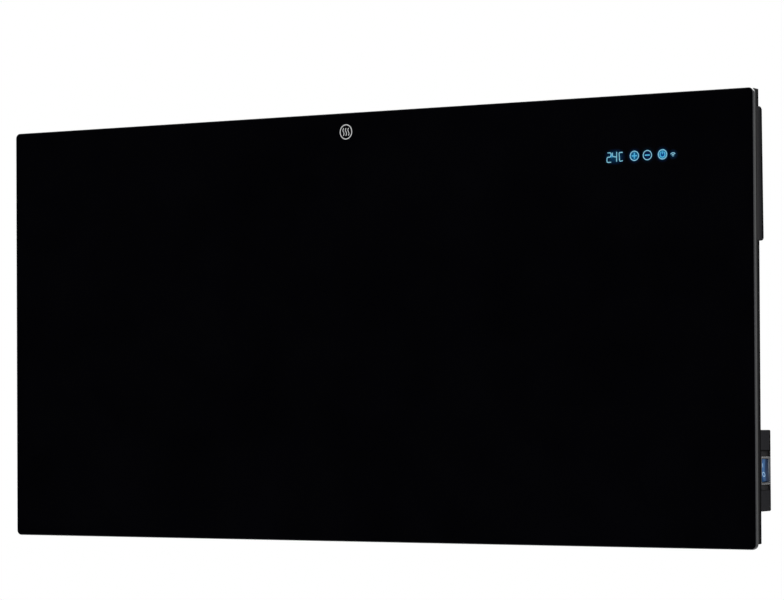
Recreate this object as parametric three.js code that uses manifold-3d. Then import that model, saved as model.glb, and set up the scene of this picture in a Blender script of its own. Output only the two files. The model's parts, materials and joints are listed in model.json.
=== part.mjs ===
// Wall-hung infrared glass panel heater.
// Millimetres. +X is to the right seen from the room, +Y points to the wall, +Z is up.
// Sizes are laid out from the centre of the glass's front face; the finished group is then moved so
// that its origin is the middle of the upper rail's wall-side face.

import * as THREE from 'three';
import { mergeVertices } from 'three/addons/utils/BufferGeometryUtils.js';
import Module from 'manifold-3d';

const wasm = await Module();
wasm.setup();

// ------------------------------------------------------------------ driving dimensions

const seatGap = 0.3; // clearance left between pieces that touch
const cutMargin = 2; // how far a cutter runs past the face that it opens

// front glass
const glassWidth = 1000;
const glassHeight = 500;
const glassThickness = 6;
const glassCornerRadius = 6;
const glassArris = 0.8;

// adhesive seal between the glass and the tray's rim
const sealThickness = 0.6;
const sealWidth = 5;
const sealInset = 1.5;

// pressed steel back tray
const traySideInset = 1;
const trayTopInset = 0.2;
const trayBottomInset = 5.5;
const trayDepth = 10.8;
const traySheet = 1;
const trayFlangeWidth = 8;
const trayEdgeRadius = 3;
const trayCornerRadius = 2;
const trayRimDepth = 2;

// heating mats with their bus bars, reflector foil and insulation
const matInset = 22;
const matThickness = 0.5;
const matSplit = 8;
const matKeepOut = 10;
const busbarWidth = 6;
const busbarThickness = 0.3;
const foilThickness = 0.3;
const foilInset = 14;
const insulationInset = 9;

// overheat cut-outs, one on each mat
const cutoutLength = 20;
const cutoutWidth = 8;
const cutoutThickness = 4;
const cutoutFromBusbar = 14;

// internal leads and the channels that they run in
const leadDiameter = 3;
const supplyDiameter = 6;
const channelWidth = 10;
const channelDepth = 6.5;
const leadBendRadius = 6;

// control cover, at the top right corner of the back
const coverWidth = 199;
const coverHeight = 146.1;
const coverBelowGlassTop = 19.1;
const coverTopStand = 9;
const coverBottomStand = 11.7;
const coverWall = 2.2;
const coverEndRadius = 9;
const coverSideRadius = 3;
const coverCornerRadius = 5;
const coverFlushRadius = 0.6;
const coverRibThickness = 1.5;
const coverRibDepth = 4.5;
const coverRibCount = 3;
const coverScrewInset = 12;
const coverBossDiameter = 10;
const coverCounterboreDepth = 3;
const airSlotCount = 6;
const airSlotWidth = 2;
const airSlotLength = 14;
const airSlotPitch = 5;

// board carrier, bonded to the back of the glass
const carrierPlate = 2;
const carrierInset = 11;
const postDiameter = 8;
const postHeight = 8.5;
const standoffDiameter = 5;
const standoffInset = 4;
const boardThickness = 1.6;

// display board, in line with the touch keys
const keyRowBelowGlassTop = 67.7;
const displayBoardWidth = 116;
const displayBoardHeight = 34;
const displayBoardFromCoverLeft = 12;
const digitsFromCoverLeft = 33;
const digitsWidth = 23;
const digitsHeight = 17;
const digitsThickness = 6.5;
const digitCount = 3;
const digitWidth = 5.4;
const digitHeight = 13;
const digitPitch = 7.3;
const segmentWidth = 1.1;
const segmentDepth = 0.8;
const plusFromCoverLeft = 56.9;
const minusFromCoverLeft = 72.8;
const powerFromCoverLeft = 91.2;
const signalFromCoverLeft = 103.9;
const keyGuideDiameter = 12.4;
const keyGuideBore = 6.5;
const signalGuideDiameter = 7.6;
const signalGuideBore = 3;
const wirelessWidth = 18;
const wirelessHeight = 16;
const wirelessThickness = 2.4;

// power board and what stands on it
const powerBoardFromCoverRight = 25;
const powerBoardHeight = 62;
const powerBoardFromCoverLeft = 18;
const powerBoardAboveCoverBottom = 10;
const powerStandoffHeight = 1.5;
const relayWidth = 19;
const relayDepth = 15.5;
const relayHeight = 12.5;
const relayFromBoardLeft = 16;
const transformerWidth = 32;
const transformerDepth = 27;
const transformerHeight = 13;
const transformerFromBoardLeft = 48;
const transformerCoreRatio = 0.6;
const capacitorWidth = 18;
const capacitorDepth = 8;
const capacitorHeight = 12;
const capacitorFromBoardLeft = 88;
const terminalBlockWidth = 30;
const terminalBlockDepth = 11;
const terminalBlockHeight = 11;
const terminalBlockFromBoardLeft = 113;
const terminalBlockPoles = 4;
const terminalPoleDiameter = 4;
const terminalPoleDepth = 4;
const sensorDiameter = 5;
const sensorHeight = 11;
const sensorFromBoardRight = 8;

// switch housing, at the lower right corner of the back
const switchBoxWidth = 100;
const switchBoxHeight = 88.4;
const switchBoxAboveGlassBottom = 40.8;
const switchBoxStand = 26.3;
const switchBoxWall = 2;
const switchBoxSideWall = 2.8;
const switchBoxEndRadius = 6;
const switchBoxSideRadius = 3.5;
const switchBoxCornerRadius = 4;
const switchBoxFlushRadius = 0.6;
const switchLipDepth = 2.5;
const switchLipWidth = 6;
const recessHeight = 42.4;
const recessWidth = 26;
const switchAxisBehindTray = 11.7;
const plateThickness = 2;
const plateOverlap = 4;
const guideRibWidth = 5;
const guideRibThickness = 2;

// rocker switch
const bezelHeight = 31;
const bezelWidth = 25;
const bezelThickness = 2;
const bezelChamfer = 0.5;
const frameBodyHeight = 27.8;
const frameBodyWidth = 22;
const frameBodyDepth = 20;
const rockerRadius = 12.6;
const rockerWidth = 19.2;
const rockerPivotDepth = 4.3;
const rockerPressedDepth = 1.4; // how far the pressed end lies below the bezel's face
const rockerTilt = 8;
const rockerDish = 1.1;
const rockerHeelAngle = 22;
const rockerKeelWidth = 5;
const rockerKeelDepth = 7;
const trunnionDiameter = 4;
const trunnionLength = 0.9;
const frameWellDepth = 9.5;
const bladeWidth = 6.3;
const bladeThickness = 0.8;
const bladeLength = 9;
const bladeSpacingAcross = 11;
const bladeSpacingUp = 14;
const bladeHoleDiameter = 1.8;

// pillars and screws of the two housings
const pillarAcrossFlats = 7;
const pillarFromBoxLeft = 13;
const pillarFromBoxEnd = 13;
const pillarLength = 19;
const housingBossDiameter = 10;
const housingCounterboreDepth = 2.6;
const screwHeadDiameter = 6.4;
const screwHeadHeight = 2.2;
const screwShankDiameter = 3;
const screwLength = 14;
const pillarScrewLength = 9;

// cable gland in the switch housing's lower wall
const glandFromBoxLeft = 38;
const glandAcrossFlats = 19;
const glandFlangeHeight = 4;
const glandThreadDiameter = 15.6;
const glandThreadInside = 8;
const glandThreadBelow = 6;
const glandBore = 9;
const locknutHeight = 4;
const glandNutHeight = 12;
const glandNutLip = 2;
const glandSealHeight = 3;

// rails and bumpers that stand the panel off the wall
const wallStand = 34;
const railSheet = 1.2;
const railFaceHeight = 30;
const railFlangeHeight = 14;
const railBendRadius = 2.4;
const railFromCover = 20;
const upperRailBelowGlassTop = 100;
const lowerRailAboveGlassBottom = 100;
const keyholeSpacing = 400;
const keyholeHeadDiameter = 10;
const keyholeNeckWidth = 5.4;
const keyholeRise = 12;
const bumperDiameter = 22;
const bumperThickness = 2;
const bumperChamfer = 0.6;
const bumperFromRailEnd = 60;

// facets
const arcSteps = 3;
const roundSides = 24;
const smallRoundSides = 16;
const leadSides = 6;
const leadSteps = 4;
const hexSides = 6;

// ------------------------------------------------------------------ places worked out from the sizes

// Depths, from the glass's front face towards the wall.
const glassBack = glassThickness;
const sealFront = glassBack + seatGap;
const trayFront = sealFront + sealThickness + seatGap;
const trayBack = trayFront + trayDepth;
const trayFloor = trayBack - traySheet;
const wallPlane = trayBack + wallStand;

const matFront = glassBack + seatGap;
const busbarFront = matFront + matThickness + seatGap;
const foilFront = busbarFront + busbarThickness + seatGap;
const insulationFront = Math.max(foilFront + foilThickness, trayFront + traySheet) + seatGap;
const insulationBack = trayFloor - seatGap;

// The tray's outer rectangle.
const trayLeft = -glassWidth / 2 + traySideInset;
const trayRight = glassWidth / 2 - traySideInset;
const trayTop = glassHeight / 2 - trayTopInset;
const trayBottom = -glassHeight / 2 + trayBottomInset;

// The control cover's outer rectangle.
const coverRight = trayRight;
const coverLeft = coverRight - coverWidth;
const coverTop = glassHeight / 2 - coverBelowGlassTop;
const coverBottom = coverTop - coverHeight;
const coverFront = trayFront + trayRimDepth + seatGap;
const keyRow = glassHeight / 2 - keyRowBelowGlassTop;

// The switch housing's outer rectangle.
const boxRight = trayRight;
const boxLeft = boxRight - switchBoxWidth;
const boxBottom = -glassHeight / 2 + switchBoxAboveGlassBottom;
const boxTop = boxBottom + switchBoxHeight;
const boxMiddle = (boxBottom + boxTop) / 2;
const boxFront = trayBack + seatGap;
const boxLipFront = trayBack - switchLipDepth;
const boxBack = trayBack + switchBoxStand;

// The rocker switch.
const switchAxis = trayBack + switchAxisBehindTray;
const plateOuter = boxRight - switchBoxSideWall - seatGap;
const plateInner = plateOuter - plateThickness;
const bezelInner = plateOuter + seatGap;
const bezelOuter = bezelInner + bezelThickness;
const rockerPivot = bezelOuter - rockerPivotDepth;
const frameBodyInner = bezelInner - frameBodyDepth;

// ------------------------------------------------------------------ geometry helpers

const degrees = Math.PI / 180;

// A closed outline from corners [a, b] or [a, b, radius]; a corner with a radius becomes an arc.
function outline(corners) {
  const shape = new THREE.Shape();
  const count = corners.length;
  corners.forEach(([a, b, radius = 0], index) => {
    const corner = new THREE.Vector2(a, b);
    const before = corners[(index + count - 1) % count];
    const after = corners[(index + 1) % count];
    const back = new THREE.Vector2(before[0], before[1]).sub(corner).normalize();
    const ahead = new THREE.Vector2(after[0], after[1]).sub(corner).normalize();
    const half = Math.acos(back.dot(ahead)) / 2;
    const reach = radius / Math.tan(half);
    const start = corner.clone().addScaledVector(back, reach);
    if (index === 0) shape.moveTo(start.x, start.y);
    else shape.lineTo(start.x, start.y);
    if (radius === 0) return;
    const centre = back.clone().add(ahead).normalize();
    centre.multiplyScalar(radius / Math.sin(half)).add(corner);
    const end = corner.clone().addScaledVector(ahead, reach);
    const from = Math.atan2(start.y - centre.y, start.x - centre.x);
    const to = Math.atan2(end.y - centre.y, end.x - centre.x);
    shape.absarc(centre.x, centre.y, radius, from, to, back.cross(ahead) > 0);
  });
  shape.closePath();
  return shape;
}

function rectangle(a0, a1, b0, b1, radius = 0) {
  return outline([[a0, b0, radius], [a1, b0, radius], [a1, b1, radius], [a0, b1, radius]]);
}

function circle(a, b, diameter) {
  const shape = new THREE.Shape();
  shape.absarc(a, b, diameter / 2, 0, 2 * Math.PI, false);
  return shape;
}

function polygon(a, b, acrossFlats, sides) {
  const reach = acrossFlats / 2 / Math.cos(Math.PI / sides);
  const corner = (index) => {
    const angle = (index * 2 * Math.PI) / sides;
    return [a + reach * Math.cos(angle), b + reach * Math.sin(angle)];
  };
  return outline(Array.from({ length: sides }, (_, index) => corner(index)));
}

function extrude(shape, length, steps = arcSteps) {
  return new THREE.ExtrudeGeometry(shape, {
    depth: length,
    bevelEnabled: false,
    curveSegments: steps,
  });
}

const axisX = new THREE.Vector3(1, 0, 0);
const axisY = new THREE.Vector3(0, 1, 0);
const axisZ = new THREE.Vector3(0, 0, 1);
const frontView = new THREE.Matrix4().makeBasis(axisX, axisZ, axisY.clone().negate());
const sideView = new THREE.Matrix4().makeBasis(axisY, axisZ, axisX);

// An outline in X and Z, given depth from y0 to y1.
function alongY(shape, y0, y1, steps) {
  return extrude(shape, y1 - y0, steps).applyMatrix4(frontView).translate(0, y1, 0);
}

// An outline in Y and Z, given length from x0 to x1.
function alongX(shape, x0, x1, steps) {
  return extrude(shape, x1 - x0, steps).applyMatrix4(sideView).translate(x0, 0, 0);
}

// An outline in X and Y, given height from z0 to z1.
function alongZ(shape, z0, z1, steps) {
  return extrude(shape, z1 - z0, steps).translate(0, 0, z0);
}

function block(x0, x1, y0, y1, z0, z1) {
  const box = new THREE.BoxGeometry(x1 - x0, y1 - y0, z1 - z0);
  return box.translate((x0 + x1) / 2, (y0 + y1) / 2, (z0 + z1) / 2);
}

function rodAlongY(x, z, diameter, y0, y1, sides = smallRoundSides) {
  return alongY(circle(x, z, diameter), y0, y1, sides / 2);
}

function rodAlongZ(x, y, diameter, z0, z1, sides = roundSides) {
  return alongZ(circle(x, y, diameter), z0, z1, sides / 2);
}

// A turned piece about Z from [radius, height] pairs that start and end on the axis.
function turned(profile, sides = roundSides) {
  const points = profile.map(([radius, height]) => new THREE.Vector2(radius, height));
  return new THREE.LatheGeometry(points, sides).rotateX(Math.PI / 2);
}

// A round lead that follows a list of points with rounded bends.
// A curve that gives each of its pieces the same number of steps, however long the piece is.
class Route extends THREE.Curve {
  constructor(pieces) {
    super();
    this.pieces = pieces;
  }

  getPoint(t) {
    const index = Math.min(Math.floor(t * this.pieces.length), this.pieces.length - 1);
    return this.pieces[index].getPoint(t * this.pieces.length - index);
  }

  getPointAt(t) {
    return this.getPoint(t);
  }

  getTangentAt(t) {
    return this.getTangent(t);
  }
}

function lead(points, diameter) {
  const pieces = [];
  let from = points[0];
  for (let index = 1; index < points.length - 1; index += 1) {
    const corner = points[index];
    const back = from.clone().sub(corner);
    const ahead = points[index + 1].clone().sub(corner);
    const reach = Math.min(leadBendRadius, back.length() / 2, ahead.length() / 2);
    const start = corner.clone().addScaledVector(back.normalize(), reach);
    const end = corner.clone().addScaledVector(ahead.normalize(), reach);
    pieces.push(new THREE.LineCurve3(from, start), new THREE.QuadraticBezierCurve3(start, corner, end));
    from = end;
  }
  pieces.push(new THREE.LineCurve3(from, points[points.length - 1]));
  return new THREE.ExtrudeGeometry(circle(0, 0, diameter), {
    steps: leadSteps * pieces.length,
    curveSegments: leadSides / 2,
    bevelEnabled: false,
    extrudePath: new Route(pieces),
  });
}

function toSolid(geometry) {
  const bare = geometry.clone();
  bare.deleteAttribute('normal');
  bare.deleteAttribute('uv');
  const merged = mergeVertices(bare);
  const vertProperties = new Float32Array(merged.attributes.position.array);
  const triVerts = new Uint32Array(merged.index.array);
  return new wasm.Manifold(new wasm.Mesh({ numProp: 3, vertProperties, triVerts }));
}

function toGeometry(solid) {
  const mesh = solid.getMesh();
  const geometry = new THREE.BufferGeometry();
  geometry.setAttribute('position', new THREE.BufferAttribute(mesh.vertProperties, 3));
  geometry.setIndex(new THREE.BufferAttribute(mesh.triVerts, 1));
  const faceted = geometry.toNonIndexed();
  faceted.computeVertexNormals();
  return faceted;
}

// Joins the first list of geometries into one solid and cuts the second list out of it.
function carve(parts, cutters = []) {
  const joined = parts.map(toSolid).reduce((whole, piece) => whole.add(piece));
  return toGeometry(cutters.map(toSolid).reduce((whole, piece) => whole.subtract(piece), joined));
}

function common(first, second) {
  return toGeometry(toSolid(first).intersect(toSolid(second)));
}

// A box that opens to the room, with a rear face that may slope from top to bottom. Seen from the
// side its rear corners have endRadius, seen from above they have sideRadius, and seen from the rear
// its left and right corners have their own radii.
function housingForm({
  left,
  right,
  bottom,
  top,
  front,
  rearTop,
  rearBottom,
  endRadius,
  sideRadius,
  leftRadius,
  rightRadius,
}) {
  const start = front - Math.abs(rearTop - rearBottom) - cutMargin;
  const side = outline([
    [start, bottom],
    [rearBottom, bottom, endRadius],
    [rearBottom, top, endRadius],
    [start, top],
  ]);
  const plan = outline([
    [left, start],
    [right, start],
    [right, rearBottom, sideRadius],
    [left, rearBottom, sideRadius],
  ]);
  const footprint = outline([
    [left, bottom, leftRadius],
    [right, bottom, rightRadius],
    [right, top, rightRadius],
    [left, top, leftRadius],
  ]);
  const slope = (rearTop - rearBottom) / (top - bottom);
  const upright = common(
    common(alongX(side, left, right), alongZ(plan, bottom, top)),
    alongY(footprint, start, rearBottom),
  );
  const sloped = upright
    .translate(0, 0, -bottom)
    .applyMatrix4(new THREE.Matrix4().makeShear(0, 0, 0, 0, 0, slope))
    .translate(0, 0, bottom);
  return common(sloped, block(left, right, front, Math.max(rearTop, rearBottom), bottom, top));
}

// ------------------------------------------------------------------ materials

function finish(color, roughness, metalness = 0) {
  return () => new THREE.MeshStandardMaterial({ color, roughness, metalness });
}

const blackGlass = finish(0x050507, 0.06);
const sealant = finish(0x1a1a1a, 0.7);
const blackSteel = finish(0x26272a, 0.45, 0.3);
const blackPlastic = finish(0x2c2c30, 0.55);
const glossPlastic = finish(0x151518, 0.2);
const bluePlastic = finish(0x2f6aa8, 0.25);
const carbonFilm = finish(0x202022, 0.6);
const copper = finish(0xb87333, 0.35, 0.9);
const foil = finish(0xc8c8c8, 0.3, 0.9);
const mineralBoard = finish(0xd9d4c4, 0.9);
const whitePlastic = finish(0xd8d8d4, 0.5);
const circuitBoard = finish(0x1d5a34, 0.5);
const clearPlastic = finish(0xbfd8e4, 0.2);
const componentBlack = finish(0x1b1b1b, 0.4);
const componentBlue = finish(0x2b5fa0, 0.4);
const laminations = finish(0x7d7d80, 0.4, 0.6);
const platedSteel = finish(0xb9bbbd, 0.3, 0.9);
const brass = finish(0xb59a4c, 0.35, 0.9);
const rubber = finish(0x151515, 0.85);
const insulatedLead = finish(0x8a2f22, 0.6);

const heater = new THREE.Group();

function add(parent, name, geometry, material) {
  const mesh = new THREE.Mesh(geometry, material());
  mesh.name = name;
  parent.add(mesh);
  return mesh;
}

// ------------------------------------------------------------------ front glass and tray

function glassFront() {
  const shape = rectangle(
    -glassWidth / 2,
    glassWidth / 2,
    -glassHeight / 2,
    glassHeight / 2,
    glassCornerRadius,
  );
  const pane = new THREE.ExtrudeGeometry(shape, {
    depth: glassThickness - 2 * glassArris,
    bevelThickness: glassArris,
    bevelSize: glassArris,
    bevelOffset: -glassArris,
    bevelSegments: 1,
    curveSegments: arcSteps * 2,
  });
  return pane.applyMatrix4(frontView).translate(0, glassThickness - glassArris, 0);
}

function trayRectangle(inset, radius = 0) {
  return rectangle(trayLeft + inset, trayRight - inset, trayBottom + inset, trayTop - inset, radius);
}

function edgeSeal() {
  const ring = trayRectangle(sealInset, trayCornerRadius - sealInset);
  ring.holes.push(trayRectangle(sealInset + sealWidth));
  return alongY(ring, sealFront, sealFront + sealThickness);
}

function coverOpening(y0, y1) {
  const radius = coverCornerRadius + seatGap;
  const opening = outline([
    [coverLeft - seatGap, coverBottom - seatGap, radius],
    [coverRight + cutMargin, coverBottom - seatGap],
    [coverRight + cutMargin, coverTop + seatGap],
    [coverLeft - seatGap, coverTop + seatGap, radius],
  ]);
  return alongY(opening, y0, y1);
}

function backTray() {
  const shell = housingForm({
    left: trayLeft,
    right: trayRight,
    bottom: trayBottom,
    top: trayTop,
    front: trayFront,
    rearTop: trayBack,
    rearBottom: trayBack,
    endRadius: trayEdgeRadius,
    sideRadius: trayEdgeRadius,
    leftRadius: trayCornerRadius,
    rightRadius: trayCornerRadius,
  });
  const inside = housingForm({
    left: trayLeft + traySheet,
    right: trayRight - traySheet,
    bottom: trayBottom + traySheet,
    top: trayTop - traySheet,
    front: trayFront + traySheet,
    rearTop: trayFloor,
    rearBottom: trayFloor,
    endRadius: trayEdgeRadius - traySheet,
    sideRadius: trayEdgeRadius - traySheet,
    leftRadius: trayCornerRadius - traySheet,
    rightRadius: trayCornerRadius - traySheet,
  });
  const window = alongY(trayRectangle(trayFlangeWidth), trayFront - cutMargin, trayFloor - trayEdgeRadius);
  const coverHole = coverOpening(trayFront + trayRimDepth, trayBack + cutMargin);
  const lipNotch = block(
    boxRight - switchLipWidth - seatGap,
    boxRight + cutMargin,
    boxLipFront - seatGap,
    trayBack + cutMargin,
    boxBottom - seatGap,
    boxTop + seatGap,
  );
  const leadHole = alongY(
    rectangle(
      supplyX - channelWidth / 2,
      supplyX + channelWidth / 2,
      supplyHoleZ - channelWidth / 2,
      supplyHoleZ + channelWidth / 2 + leadBendRadius,
      channelWidth / 2 - seatGap,
    ),
    trayFloor - cutMargin,
    trayBack + cutMargin,
  );
  return carve([shell], [inside, window, coverHole, lipNotch, leadHole]);
}

// ------------------------------------------------------------------ heating element

const matLeft = trayLeft + matInset;
const matRight = trayRight - matInset;
const matTop = trayTop - matInset;
const matBottom = trayBottom + matInset;
const mainMatRight = coverLeft - matKeepOut;
const sideMatLeft = mainMatRight + matSplit;
const sideMatTop = coverBottom - matKeepOut;

function heatingMat(left, right, top) {
  return alongY(rectangle(left, right, matBottom, top), matFront, matFront + matThickness);
}

function busbar(left) {
  const strip = rectangle(left, left + busbarWidth, matBottom, left < 0 ? matTop : sideMatTop);
  return alongY(strip, busbarFront, busbarFront + busbarThickness);
}

// One copper strip on each mat's inner end, bridged where the shared lead is soldered on.
function centreBusbar() {
  const mainInner = mainMatRight - busbarWidth;
  const sideOuter = sideMatLeft + busbarWidth;
  const bridgeLow = centreLeadZ - channelWidth / 2;
  const bridgeHigh = centreLeadZ + channelWidth / 2;
  const strip = outline([
    [mainInner, matBottom],
    [mainMatRight, matBottom],
    [mainMatRight, bridgeLow],
    [sideMatLeft, bridgeLow],
    [sideMatLeft, matBottom],
    [sideOuter, matBottom],
    [sideOuter, sideMatTop],
    [sideMatLeft, sideMatTop],
    [sideMatLeft, bridgeHigh],
    [mainMatRight, bridgeHigh],
    [mainMatRight, matTop],
    [mainInner, matTop],
  ]);
  return alongY(strip, busbarFront, busbarFront + busbarThickness);
}

// The overheat cut-outs lie beside the bus bars, against the mats, in pockets of the insulation.
const mainCutoutX = mainMatRight - busbarWidth - cutoutFromBusbar;
const sideCutoutX = sideMatLeft + busbarWidth + cutoutFromBusbar;
const cutoutZ = sideMatTop - cutoutLength - channelWidth;
const cutoutFront = matFront + matThickness + seatGap;

function cutoutCapsule() {
  const capsule = rectangle(
    -cutoutWidth / 2,
    cutoutWidth / 2,
    -cutoutLength / 2,
    cutoutLength / 2,
    cutoutThickness / 2,
  );
  return alongY(capsule, 0, cutoutThickness);
}

function cutoutPocket(x) {
  return block(
    x - cutoutWidth / 2 - seatGap,
    x + cutoutWidth / 2 + seatGap,
    matFront,
    cutoutFront + cutoutThickness + seatGap,
    cutoutZ - cutoutLength / 2 - seatGap,
    cutoutZ + cutoutLength / 2 + seatGap,
  );
}

// Leads run behind the foil in channels cut into the back of the insulation.
const leadDepth = insulationBack - leadDiameter / 2 - seatGap;
const supplyDepth = insulationBack - supplyDiameter / 2 - seatGap;
const supplyX = boxLeft + glandFromBoxLeft;
const supplyHoleZ = boxTop - channelWidth * 2;
const leftLeadZ = coverTop - channelWidth * 2;
const leftBusbarX = matLeft + busbarWidth / 2;
const splitX = (mainMatRight + sideMatLeft) / 2;
const centreLeadX = coverLeft + coverWall + channelWidth;
const centreLeadZ = sideMatTop - channelWidth;
const rightBusbarX = matRight - busbarWidth / 2;
const padFront = busbarFront + busbarThickness + seatGap;

function channel(x0, x1, z0, z1, front = insulationBack - channelDepth) {
  const half = channelWidth / 2;
  return block(x0 - half, x1 + half, front, insulationBack + cutMargin, z0 - half, z1 + half);
}

function channels() {
  const through = foilFront - cutMargin;
  return [
    channel(supplyX, supplyX, supplyHoleZ, coverBottom),
    channel(leftBusbarX, coverLeft, leftLeadZ, leftLeadZ),
    channel(leftBusbarX, leftBusbarX, leftLeadZ, leftLeadZ, through),
    channel(splitX, centreLeadX, centreLeadZ, centreLeadZ),
    channel(centreLeadX, centreLeadX, centreLeadZ, coverBottom),
    channel(splitX, splitX, centreLeadZ, centreLeadZ, through),
    channel(rightBusbarX, rightBusbarX, centreLeadZ, coverBottom),
    channel(rightBusbarX, rightBusbarX, centreLeadZ, centreLeadZ, through),
  ];
}

function reflectorFoil() {
  const sheet = alongY(trayRectangle(foilInset), foilFront, foilFront + foilThickness);
  return carve(
    [sheet],
    [
      coverOpening(foilFront - cutMargin, insulationBack),
      cutoutPocket(mainCutoutX),
      cutoutPocket(sideCutoutX),
      ...channels(),
    ],
  );
}

function insulationBoard() {
  const board = alongY(trayRectangle(insulationInset), insulationFront, insulationBack);
  return carve(
    [board],
    [
      coverOpening(insulationFront - cutMargin, insulationBack + cutMargin),
      cutoutPocket(mainCutoutX),
      cutoutPocket(sideCutoutX),
      ...channels(),
    ],
  );
}

const point = (x, y, z) => new THREE.Vector3(x, y, z);

function leftLead() {
  return lead(
    [
      point(coverLeft + coverWall + leadDiameter, leadDepth, leftLeadZ),
      point(leftBusbarX, leadDepth, leftLeadZ),
      point(leftBusbarX, padFront, leftLeadZ),
    ],
    leadDiameter,
  );
}

function centreLead() {
  return lead(
    [
      point(centreLeadX, leadDepth, coverBottom + coverWall + leadDiameter),
      point(centreLeadX, leadDepth, centreLeadZ),
      point(splitX, leadDepth, centreLeadZ),
      point(splitX, padFront, centreLeadZ),
    ],
    leadDiameter,
  );
}

function rightLead() {
  return lead(
    [
      point(rightBusbarX, leadDepth, coverBottom + coverWall + leadDiameter),
      point(rightBusbarX, leadDepth, centreLeadZ),
      point(rightBusbarX, padFront, centreLeadZ),
    ],
    leadDiameter,
  );
}

function supplyLead() {
  return lead(
    [
      point(frameBodyInner - bladeLength - supplyDiameter, switchAxis, supplyHoleZ),
      point(supplyX, switchAxis, supplyHoleZ),
      point(supplyX, supplyDepth, supplyHoleZ),
      point(supplyX, supplyDepth, coverBottom + coverWall + supplyDiameter),
    ],
    supplyDiameter,
  );
}

// ------------------------------------------------------------------ control cover

const coverRear = (z) => {
  const slope = (coverTopStand - coverBottomStand) / coverHeight;
  return trayBack + coverBottomStand + slope * (z - coverBottom);
};
const coverScrewLow = coverBottom + coverScrewInset;
const coverScrewHigh = coverTop - coverScrewInset;
const coverScrewPlaces = [
  [coverLeft + coverScrewInset, coverScrewLow],
  [coverRight - coverScrewInset - carrierInset / 2, coverScrewLow],
  [coverLeft + coverScrewInset, coverScrewHigh],
  [coverRight - coverScrewInset - carrierInset / 2, coverScrewHigh],
];
const postTop = matFront + carrierPlate + postHeight;

function coverShell(wall) {
  return housingForm({
    left: coverLeft + wall,
    right: coverRight - wall,
    bottom: coverBottom + wall,
    top: coverTop - wall,
    front: coverFront - (wall ? cutMargin : 0),
    rearTop: coverRear(coverTop) - wall,
    rearBottom: coverRear(coverBottom) - wall,
    endRadius: coverEndRadius - wall,
    sideRadius: Math.max(coverSideRadius - wall, seatGap),
    leftRadius: coverCornerRadius - wall,
    rightRadius: Math.max(coverFlushRadius - wall, seatGap),
  });
}

// Stiffening ribs on the inside of the rear wall, above the boards.
function coverRibs() {
  const rear = coverRear(coverTop);
  return Array.from({ length: coverRibCount }, (_, index) => {
    const x = coverLeft + ((index + 1) * coverWidth) / (coverRibCount + 1);
    const bar = block(
      x - coverRibThickness / 2,
      x + coverRibThickness / 2,
      rear - coverWall - coverRibDepth,
      rear + coverWall,
      (coverBottom + coverTop) / 2 + coverRibDepth,
      coverTop,
    );
    return common(bar, coverShell(coverWall / 2));
  });
}

function coverSeat(z) {
  return coverRear(z) - coverCounterboreDepth;
}

function controlCover() {
  const bosses = coverScrewPlaces.map(([x, z]) =>
    rodAlongY(x, z, coverBossDiameter, postTop + seatGap, coverSeat(z)));
  const shell = carve([coverShell(0)], [coverShell(coverWall)]);
  const headSpace = screwHeadDiameter + 4 * seatGap;
  const holes = coverScrewPlaces.flatMap(([x, z]) => [
    rodAlongY(x, z, screwShankDiameter + 2 * seatGap, coverFront, coverRear(z) + cutMargin),
    rodAlongY(x, z, headSpace, coverSeat(z), coverRear(z) + cutMargin),
  ]);
  const cups = coverScrewPlaces.map(([x, z]) =>
    rodAlongY(x, z, coverBossDiameter, coverSeat(z) - coverWall, coverRear(z) - seatGap));
  const airSlots = Array.from({ length: airSlotCount }, (_, index) => {
    const x = sensorX + (index - (airSlotCount - 1) / 2) * airSlotPitch;
    const slot = rectangle(
      x - airSlotWidth / 2,
      x + airSlotWidth / 2,
      sensorZ - airSlotLength / 2,
      sensorZ + airSlotLength / 2,
      airSlotWidth / 2 - seatGap / 10,
    );
    return alongY(slot, coverRear(sensorZ) - coverWall - cutMargin, coverRear(sensorZ) + cutMargin);
  });
  const leadSlots = [
    [supplyX, supplyX],
    [centreLeadX, centreLeadX],
    [rightBusbarX, rightBusbarX],
  ].map(([x0, x1]) => block(
    x0 - channelWidth / 2,
    x1 + channelWidth / 2,
    coverFront - cutMargin,
    trayFloor,
    coverBottom - cutMargin,
    coverBottom + coverWall + cutMargin,
  ));
  const sideSlot = block(
    coverLeft - cutMargin,
    coverLeft + coverWall + cutMargin,
    coverFront - cutMargin,
    trayFloor,
    leftLeadZ - channelWidth / 2,
    leftLeadZ + channelWidth / 2,
  );
  const solids = [shell, ...bosses, ...cups, ...coverRibs()];
  return carve(solids, [...holes, ...airSlots, ...leadSlots, sideSlot]);
}

// A pan-head screw that points away from the wall, its head's underside at the origin.
function screw(length) {
  const dome = screwHeadHeight / 3;
  return turned(
    [
      [0, -length],
      [screwShankDiameter / 2 - dome, -length],
      [screwShankDiameter / 2, -length + dome],
      [screwShankDiameter / 2, 0],
      [screwHeadDiameter / 2, 0],
      [screwHeadDiameter / 2, screwHeadHeight - dome],
      [screwHeadDiameter / 2 - dome, screwHeadHeight],
      [0, screwHeadHeight],
    ],
    smallRoundSides,
  ).rotateX(-Math.PI / 2);
}

// ------------------------------------------------------------------ boards behind the glass

const carrierLeft = coverLeft + coverWall + seatGap;
const carrierRight = coverRight - carrierInset;
const carrierBottom = coverBottom + coverWall + seatGap;
const carrierTop = coverTop - coverWall - seatGap;
const carrierFront = matFront;
const carrierBack = carrierFront + carrierPlate;

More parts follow.
